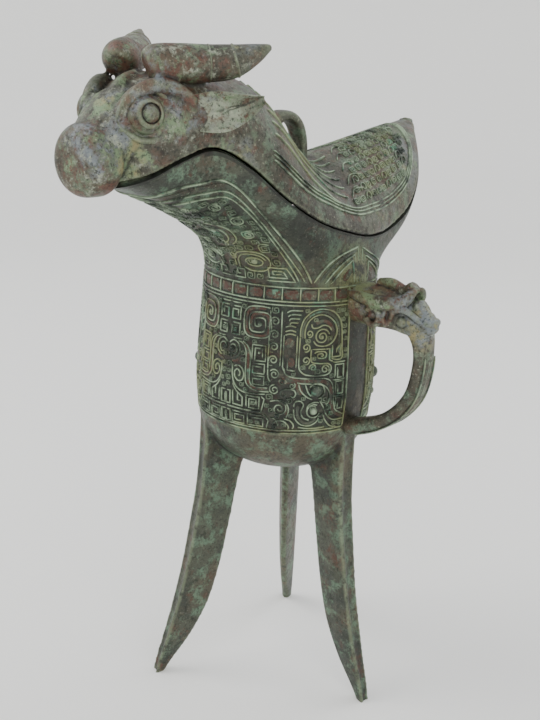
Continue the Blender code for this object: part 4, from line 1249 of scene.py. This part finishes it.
def fill_leaf(sheet, place):
    """Mask and hooked squares inside half of the leaf under the spout."""
    def pen(a, b):
        return local_pen(sheet, place, a, b, 0.5, 0.01)
    # Eye in its ring, with the brow that curls over it
    eye = pen(-72, 0.165)
    eye.line(curl(0, 0, 3.4, 200, -1, turns=1.0, inner=0.98, tall=0.62))
    eye.boss(0, 0, 0.0016, 0.0012, tone=0.7)
    eye.line(((-8.4, 3.2), (-7.8, -1.0), (-5.0, -4.6), (-0.8, -5.6), (3.6, -4.4), (6.0, -1.2),
              (5.6, 2.2), (3.0, 4.2), (-1.6, 4.6), (-5.0, 3.2)))
    eye.line(((-7.0, 4.4), (-6.4, -0.4), (-4.2, -3.2), (-0.8, -4.2), (2.8, -3.2), (4.7, -0.8)))
    eye.flat(((-7.4, 3.0), (-6.8, -1.0), (-4.6, -3.9), (-0.8, -4.9), (3.2, -3.9)), 0.9, red=0.5)
    # Hooked squares between the eye and the border
    low = pen(-57.5, 0.085)
    low.angular(((-5.4, 3.0), (5.6, 3.0), (2.6, -2.6), (-4.4, -2.6), (-4.4, 1.6), (2.6, 1.6),
                 (1.2, -1.2), (-2.8, -1.2), (-2.8, 0.2), (0.4, 0.2)))
    for a, b, size, squareness in ((-62.5, 0.27, 2.5, 3.4), (-66.5, 0.385, 2.5, 3.2),
                                   (-66.5, 0.50, 2.7, 2.4), (-69.5, 0.635, 2.4, 2.4)):
        pen(a, b).curl(0, 0, size, 40, 1, turns=2.2, inner=0.14, squareness=squareness)
    # Horn of the mask and the curls beside the middle line
    horn = pen(-75, 0.38)
    horn.line(((-6.0, 5.6), (-3.2, 3.4), (-1.4, -0.4), (-1.2, -4.6), (-2.8, -8.0), (-6.0, -9.0),
               (-8.2, -7.0), (-7.8, -4.2), (-5.6, -3.4), (-4.6, -5.2)))
    horn.line(((-2.6, 6.0), (0.4, 2.6), (1.4, -1.6), (1.2, -6.2), (-0.8, -10.2), (-4.4, -11.8)))
    horn.flat(((-4.2, 5.8), (-1.2, 3.0), (0.1, -1.2), (-0.1, -5.4), (-1.8, -9.0), (-5.2, -10.4)),
              1.5, red=0.5)
    for a, b, size in ((-83, 0.44, 2.0), (-84, 0.31, 1.9), (-85, 0.20, 1.8), (-80, 0.66, 1.8),
                       (-86, 0.60, 1.7)):
        pen(a, b).curl(0, 0, size, 230, 1, turns=1.5)
    beak = pen(-86, 0.07)
    beak.angular(((-2.2, 2.2), (3.6, 2.2), (3.6, -1.6), (0.2, -1.6), (0.2, 0.6), (2.0, 0.6)))


def fill_side_leaf(sheet, place):
    """Nested triangles of the pointed leaf over the handle, one half."""
    whole = Pen(sheet, place, half=0.00044)
    whole.angular(((-37.0, 0.035), (-1.6, 0.76)))
    whole.angular(((-29.5, 0.035), (-4.4, 0.56)))
    whole.angular(((-1.6, 0.76), (-1.6, 0.035)))
    whole.angular(((-4.4, 0.56), (-4.4, 0.035)))
    whole.angular(((-25.5, 0.035), (-7.0, 0.42), (-7.0, 0.035)))
    whole.flat(((-33.2, 0.035), (-3.0, 0.655)), 1.3, red=0.15, curved=False, rise=0.0002)
    whole.flat(((-16, 0.06), (-9.0, 0.24)), 3.0, red=1.0, curved=False, rise=0.0001)


def draw_tail_leaf(sheet, place):
    """Plainer leaf under the tail, one half."""
    whole = Pen(sheet, place)
    for inset in (0.0, 0.08, 0.14):
        whole.line(((90, 0.80 - inset), (80, 0.78 - inset), (72, 0.72 - inset), (64, 0.58 - inset),
                    (58 + inset * 20, 0.40 - inset), (50 + inset * 40, 0.20 - inset * 0.8),
                    (40 + inset * 60, 0.03)))
    for a, b, size in ((80, 0.48, 2.6), (72, 0.34, 2.6), (83, 0.30, 2.4), (66, 0.16, 2.6),
                       (76, 0.14, 2.4), (86, 0.12, 1.8)):
        local_pen(sheet, place, a, b, 0.5, 0.01).curl(0, 0, size, 40, 1, turns=2.2, inner=0.14,
                                                      squareness=3.2)


LID_BORDER = ((-50, 0.16), (-42, 0.165), (-35, 0.175), (-25, 0.21), (-12, 0.24), (5, 0.24),
              (20, 0.228), (33, 0.225), (45, 0.25), (54, 0.32), (60.5, 0.42), (64.5, 0.56),
              (67.0, 0.72), (68.0, 0.96))


def inside_border(inset):
    """The lid's border line moved toward the ridge by a share of the flank."""
    return [(y - inset * 34 * max(0.0, (share - 0.25) / 0.7), share + inset)
            for y, share in LID_BORDER if share + inset < 0.98 or y > 60]


def draw_lid(sheet, side):
    """Border lines, mane and the dense fill of the tail on one flank."""
    def place(y, share):
        return lid_place(y, share, side)
    whole = Pen(sheet, place, step=1.0)
    whole.line(LID_BORDER, half=0.00048)
    for inset in (0.032, 0.060):
        whole.line([(y, min(share, 0.97)) for y, share in inside_border(inset)])
    for k, share in enumerate((0.36, 0.45, 0.54, 0.63, 0.72, 0.81, 0.90)):
        start = -47 + k * 0.8
        whole.line(((start, share), (-38, share), (-28, share - 0.01), (-18, share - 0.03),
                    (-9, share - 0.05), (-1 + 2 * k, share - 0.05)), half=0.00050)

    def pen(y, share):
        return local_pen(sheet, place, y, share, 0.4, 0.01)
    rows = ((0.365, 5, 49), (0.445, 9, 53), (0.525, 12, 56), (0.605, 15, 58), (0.685, 18, 60),
            (0.765, 20, 61), (0.845, 22, 62), (0.925, 24, 62))
    for row, (share, start, end) in enumerate(rows):
        for k, y in enumerate(np.arange(start, end, 4.6)):
            motif = pen(y, share)
            if (row + k) % 4 == 2:
                motif.line(((-2.0, 1.3), (-0.8, -1.1), (1.0, -1.6), (2.0, -0.3), (1.3, 1.1),
                            (-0.1, 1.0), (0.2, 0.0)), half=0.00032, tone=0.75)
            else:
                motif.line(curl(0, 0, 1.95, 40 + 90 * ((row + k) % 4), 1 if k % 2 else -1,
                                turns=1.8, inner=0.16, squareness=3.0, tall=0.85),
                           half=0.00032, tone=0.75)
    for k in range(5):
        whole.line(((4 + 3 * k, 0.40 + 0.115 * k), (8 + 3 * k, 0.46 + 0.115 * k),
                    (14 + 3 * k, 0.435 + 0.115 * k)))


# Details of the lid's head

def shape_eye(side):
    """Eyeball with its pupil, the ring round it and the almond lids."""
    flip = Vector((side, 1, 1))
    look = (Vector(EYE_LOOK) * flip).normalized()
    centre = Vector(EYE) * flip + look * 0.0010 + AXIS
    level = look.cross(Vector((0, 0, 1))).normalized()
    up = level.cross(look).normalized()
    if up.z < 0:
        up = -up

    def place(u, v):
        radius, proud = EYE_PROFILE[round(v * (len(EYE_PROFILE) - 1))]
        turn = 2 * pi * u
        return centre + (level * cos(turn) + up * sin(turn)) * radius + look * proud
    eye = closed_grid("eye", 48, len(EYE_PROFILE) - 1, place)
    forward = -1 if level.y < 0 else 1
    lids = []
    for lid_rows in EYELIDS:
        rows = []
        for k, (ahead, rise) in enumerate(smooth_path(lid_rows, 30)):
            swell = EYELID_RADIUS * (0.35 + 0.65 * sin(pi * k / 29))
            sink = -0.0003 - 11.0 * ahead * ahead
            spot = centre + level * forward * ahead + up * rise + look * sink
            rows.append((*spot, swell))
        lids.append(swept("eyelid", rows, 10, look, round_outline))
    return join_pieces("eye", [eye] + lids)


def shape_horn_rings(side):
    """Thin raised rings round the horn."""
    flip = Vector((side, 1, 1))
    lift = FAR_HORN_LIFT if side < 0 else 0.0
    path = smooth_path(HORN, 61)
    parts = []
    for station, width, proud in HORN_RINGS:
        x, y, z, radius = path[station]
        ahead, behind = Vector(path[station + 1][:3]), Vector(path[station - 1][:3])
        along = ((ahead - behind) * flip + Vector((0, 0, lift / 30))).normalized()
        centre = Vector((x, y, z)) * flip + Vector((0, 0, lift * station / 60)) + AXIS
        rows = []
        for k in range(7):
            slide = (k / 6 - 0.5) * width * 2
            spot = centre + along * slide
            rows.append((*spot, radius - 0.0006 + (proud + 0.0006) * sin(pi * k / 6) ** 0.6))
        parts.append(swept("horn ring", rows, 32, SIDEWAYS, round_outline))
    return join_pieces("horn rings", parts)


def shape_handle_lines():
    """Thin raised lines along the strap of the handle."""
    sheet = Ornament()
    rows = smooth_path(STRAP, 60)[27:57]
    for side in (1, -1):
        for inward in (0.0, 0.0030):
            laid = []
            for index, (x, z, thick, wide) in enumerate(rows[1:-1], 1):
                along = Vector((rows[index + 1][0] - rows[index - 1][0], 0.0,
                                rows[index + 1][1] - rows[index - 1][1])).normalized()
                outward = along.cross(Vector((0.0, 1.0, 0.0))).normalized()
                if outward.x < 0 and z > 0.14:
                    outward = -outward
                if outward.z > 0 and z < 0.14:
                    outward = -outward
                spot = Vector((x, side * (wide - 0.0011 - inward), z)) + outward * (thick * 0.93)
                laid.append((spot, outward))
            sheet.strip(laid, 0.00040, 0.00022, 0.0004, 0.7, 0.0)
    return sheet.make("handle_lines")


# Settings, operators and panel

def colour_setting(name, description, default):
    return bpy.props.FloatVectorProperty(name=name, description=description, subtype="COLOR",
                                         size=3, min=0, max=1, default=default)


class VesselFinish(bpy.types.PropertyGroup):
    """Colours of the patina"""
    ground: colour_setting("Ground", "Dark bronze between the patches", (0.032, 0.037, 0.028))
    flat: colour_setting("Flats", "Brown-grey bronze of the plain walls", (0.060, 0.066, 0.045))
    lid_ground: colour_setting("Lid ground", "Brown bronze of the lid between the patches",
                               (0.046, 0.043, 0.031))
    lid_flat: colour_setting("Lid flats", "Grey-green bronze of the lid", (0.090, 0.093, 0.066))
    line: colour_setting("Raised lines", "Pale green on the raised lines", (0.300, 0.390, 0.260))
    line_ground: colour_setting("Ornament ground", "Dark green at the foot of the ornament",
                                (0.022, 0.031, 0.024))


class VesselStage(bpy.types.PropertyGroup):
    """Floor and light"""
    floor: colour_setting("Floor", "Colour of the pale floor", (0.93, 0.925, 0.90))
    key: bpy.props.FloatProperty(
        name="Key light", description="Power of the broad soft light", default=9.0, min=0,
        unit="POWER")
    fill: bpy.props.FloatProperty(
        name="Fill", description="Strength of the light from all round", default=1.15, min=0)


class MakeVessel(bpy.types.Operator):
    """Cast the cup, its legs and the handle"""
    bl_idname = "vessel.make_cup"
    bl_label = "Cup, Legs and Handle"

    def execute(self, context):
        colours = context.scene.vessel_finish
        bronze = bronze_finish("cup bronze", tuple(colours.ground), tuple(colours.flat),
                               0.70, 0.25, 0.75, warm=0.55)
        for piece in (cast_cup(), cast_legs()):
            give(piece, bronze, "vessel_bronze", "vessel")
        give(cast_handle(), bronze_finish("handle bronze", tuple(colours.lid_ground),
                                          (0.120, 0.125, 0.085), 0.60, 0.70, 0.60, warm=0.55,
                                          pale=1.0), "vessel_bronze", "vessel")
        return {"FINISHED"}


class MakeVesselOrnament(bpy.types.Operator):
    """Raised masks, brick belt, leaves and handle lines of the cup"""
    bl_idname = "vessel.make_ornament"
    bl_label = "Ornament of the Cup"

    def execute(self, context):
        colours = context.scene.vessel_finish
        finish = ornament_finish("raised lines", tuple(colours.line), tuple(colours.line_ground))
        belly = Ornament()
        for mirror, start in ((-1, 0), (1, 0), (-1, 180), (1, 180)):
            def belly_at(u, w, mirror=mirror, start=start):
                return belly_place(66 - u, 64 - w, mirror, start)
            draw_mask(Pen(belly, belly_at))
            fill_ground(belly, belly_at, np.arange(8.2, 58.6, 0.9), np.arange(12.8, 62.2, 0.9),
                        0.5, 0.5, 0.0013, 1.5)
        give(belly.make("belly_masks"), finish, "vessel_bronze")
        belt = Ornament()

        def belt_place(angle, height):
            outward = level_way(radians(angle))
            level = NECK_HEIGHT - 0.0030 + height * 0.001
            return outward * cup_radius(level) + Vector((0, 0, level)), outward
        draw_bricks(Pen(belt, belt_place))
        give(belt.make("brick_belt"), finish, "vessel_bronze")
        neck = Ornament()
        for mirror in (1, -1):
            def place(a, b, mirror=mirror):
                return neck_place(a, b, mirror)
            draw_leaf(Pen(neck, place, step=0.8))
            fill_leaf(neck, place)
            fill_side_leaf(neck, place)
            fill_side_leaf(neck, lambda a, b, p=place: p(-a, b))
            draw_tail_leaf(neck, place)
            fill_ground(neck, place, np.arange(-88.5, -58, 1.5), np.arange(0.06, 0.69, 0.022),
                        0.5, 0.01, 0.0016, 1.9)
        give(neck.make("neck_leaves"), finish, "vessel_bronze")
        give(shape_handle_lines(), finish, "vessel_bronze")
        return {"FINISHED"}


class MakeLid(bpy.types.Operator):
    """Cast the lid with its head, horns, ears and loop, and lay the raised ornament on it"""
    bl_idname = "vessel.make_lid"
    bl_label = "Lid"

    def execute(self, context):
        colours = context.scene.vessel_finish
        bronze = bronze_finish("lid bronze", tuple(colours.lid_ground), tuple(colours.lid_flat),
                               0.45, 0.60, 0.85, warm=0.75, pale=1.0)
        lid = cast_lid()
        spread_crust_and_sheen(lid)
        give(lid, bronze, "lid_bronze", "lid")
        ears = cast_ears()
        spread_crust_and_sheen(ears, 1.0)
        give(ears, bronze_finish("ear bronze", (0.150, 0.170, 0.120), (0.330, 0.370, 0.270),
                                 0.50, 0.70, 0.20, warm=0.2, pale=1.0), "lid_bronze")
        head = join_pieces("head_details", [shape_eye(1), shape_eye(-1), shape_horn_rings(1),
                                            shape_horn_rings(-1)])
        edge_wear_light_and_shade(head, 1)
        spread_crust_and_sheen(head, 1.0)
        shade(head, 40)
        give(head, bronze, "lid_bronze")
        finish = ornament_finish("raised lines of the lid", tuple(colours.line),
                                 tuple(colours.line_ground))
        flanks = Ornament()
        for side in (1, -1):
            draw_lid(flanks, side)
        give(flanks.make("lid_flanks"), finish, "lid_bronze")
        return {"FINISHED"}


class MakeStage(bpy.types.Operator):
    """Pale floor, soft studio light and the camera"""
    bl_idname = "vessel.make_stage"
    bl_label = "Floor, Light and Camera"

    def execute(self, context):
        stage = context.scene.vessel_stage
        deselect()
        bpy.ops.mesh.primitive_circle_add(vertices=96, radius=1.1, fill_type="NGON")
        floor = bpy.context.object
        floor.name = "floor"
        steps = []
        for grow, lift in FLOOR_CURVE:
            steps += [(bpy.ops.mesh.extrude_region_move,
                       {"TRANSFORM_OT_translate": {"value": (0, 0, lift)}}),
                      (bpy.ops.transform.resize, {"value": (grow, grow, 1)})]
        edit_whole(floor, *steps)
        build = bmesh.new()
        build.from_mesh(floor.data)
        top = [face for face in build.faces
               if len(face.verts) > 4 and face.calc_center_median().z > 0.1]
        bmesh.ops.delete(build, geom=top, context="FACES_ONLY")
        build.to_mesh(floor.data)
        build.free()
        shade(floor, 80)
        paper = bpy.data.materials.new("floor paper")
        paper.use_nodes = True
        shader = paper.node_tree.nodes["Principled BSDF"]
        shader.inputs["Base Color"].default_value = (*stage.floor, 1.0)
        shader.inputs["Roughness"].default_value = 0.85
        floor.data.materials.append(paper)
        for name, spot, size, share, colour in LIGHTS:
            data = bpy.data.lights.new(name, "AREA")
            data.shape, data.size, data.color = "DISK", size, colour
            data.energy = stage.key * share
            light = bpy.data.objects.new(name, data)
            bpy.context.collection.objects.link(light)
            light.location = spot
            aim = LIGHTS_AIM - Vector(spot)
            light.rotation_euler = aim.to_track_quat("-Z", "Y").to_euler()
        world = bpy.data.worlds.new("soft room")
        world.use_nodes = True
        sky = world.node_tree.nodes["Background"]
        sky.inputs["Color"].default_value = (0.86, 0.88, 0.92, 1.0)
        sky.inputs["Strength"].default_value = stage.fill
        context.scene.world = world
        data = bpy.data.cameras.new("camera")
        data.lens, data.sensor_width = CAMERA_LENS, 36
        camera = bpy.data.objects.new("camera", data)
        bpy.context.collection.objects.link(camera)
        stand = Matrix.Translation(CAMERA_PLACE + AXIS)
        for degrees, axis in CAMERA_TURNS:
            stand = stand @ Matrix.Rotation(radians(degrees), 4, axis)
        camera.matrix_world = stand
        context.scene.camera = camera
        return {"FINISHED"}


class VesselPanel(bpy.types.Panel):
    """Settings and steps in the sidebar"""
    bl_idname = "VIEW3D_PT_vessel"
    bl_label = "Bronze Tripod Wine Vessel"
    bl_space_type = "VIEW_3D"
    bl_region_type = "UI"
    bl_category = "Vessel"

    def draw(self, context):
        layout = self.layout
        for group in (context.scene.vessel_finish, context.scene.vessel_stage):
            for key in group.__annotations__:
                layout.prop(group, key)
        for step in STEPS:
            layout.operator(step.bl_idname)


STEPS = (MakeVessel, MakeVesselOrnament, MakeLid, MakeStage)
CLASSES = (VesselFinish, VesselStage, *STEPS, VesselPanel)


def register():
    for item in CLASSES:
        bpy.utils.register_class(item)
    bpy.types.Scene.vessel_finish = bpy.props.PointerProperty(type=VesselFinish)
    bpy.types.Scene.vessel_stage = bpy.props.PointerProperty(type=VesselStage)


def unregister():
    del bpy.types.Scene.vessel_stage
    del bpy.types.Scene.vessel_finish
    for item in reversed(CLASSES):
        bpy.utils.unregister_class(item)


def main():
    register()
    bpy.ops.vessel.make_cup()
    bpy.ops.vessel.make_ornament()
    bpy.ops.vessel.make_lid()
    bpy.ops.vessel.make_stage()


if __name__ == "__main__":
    main()
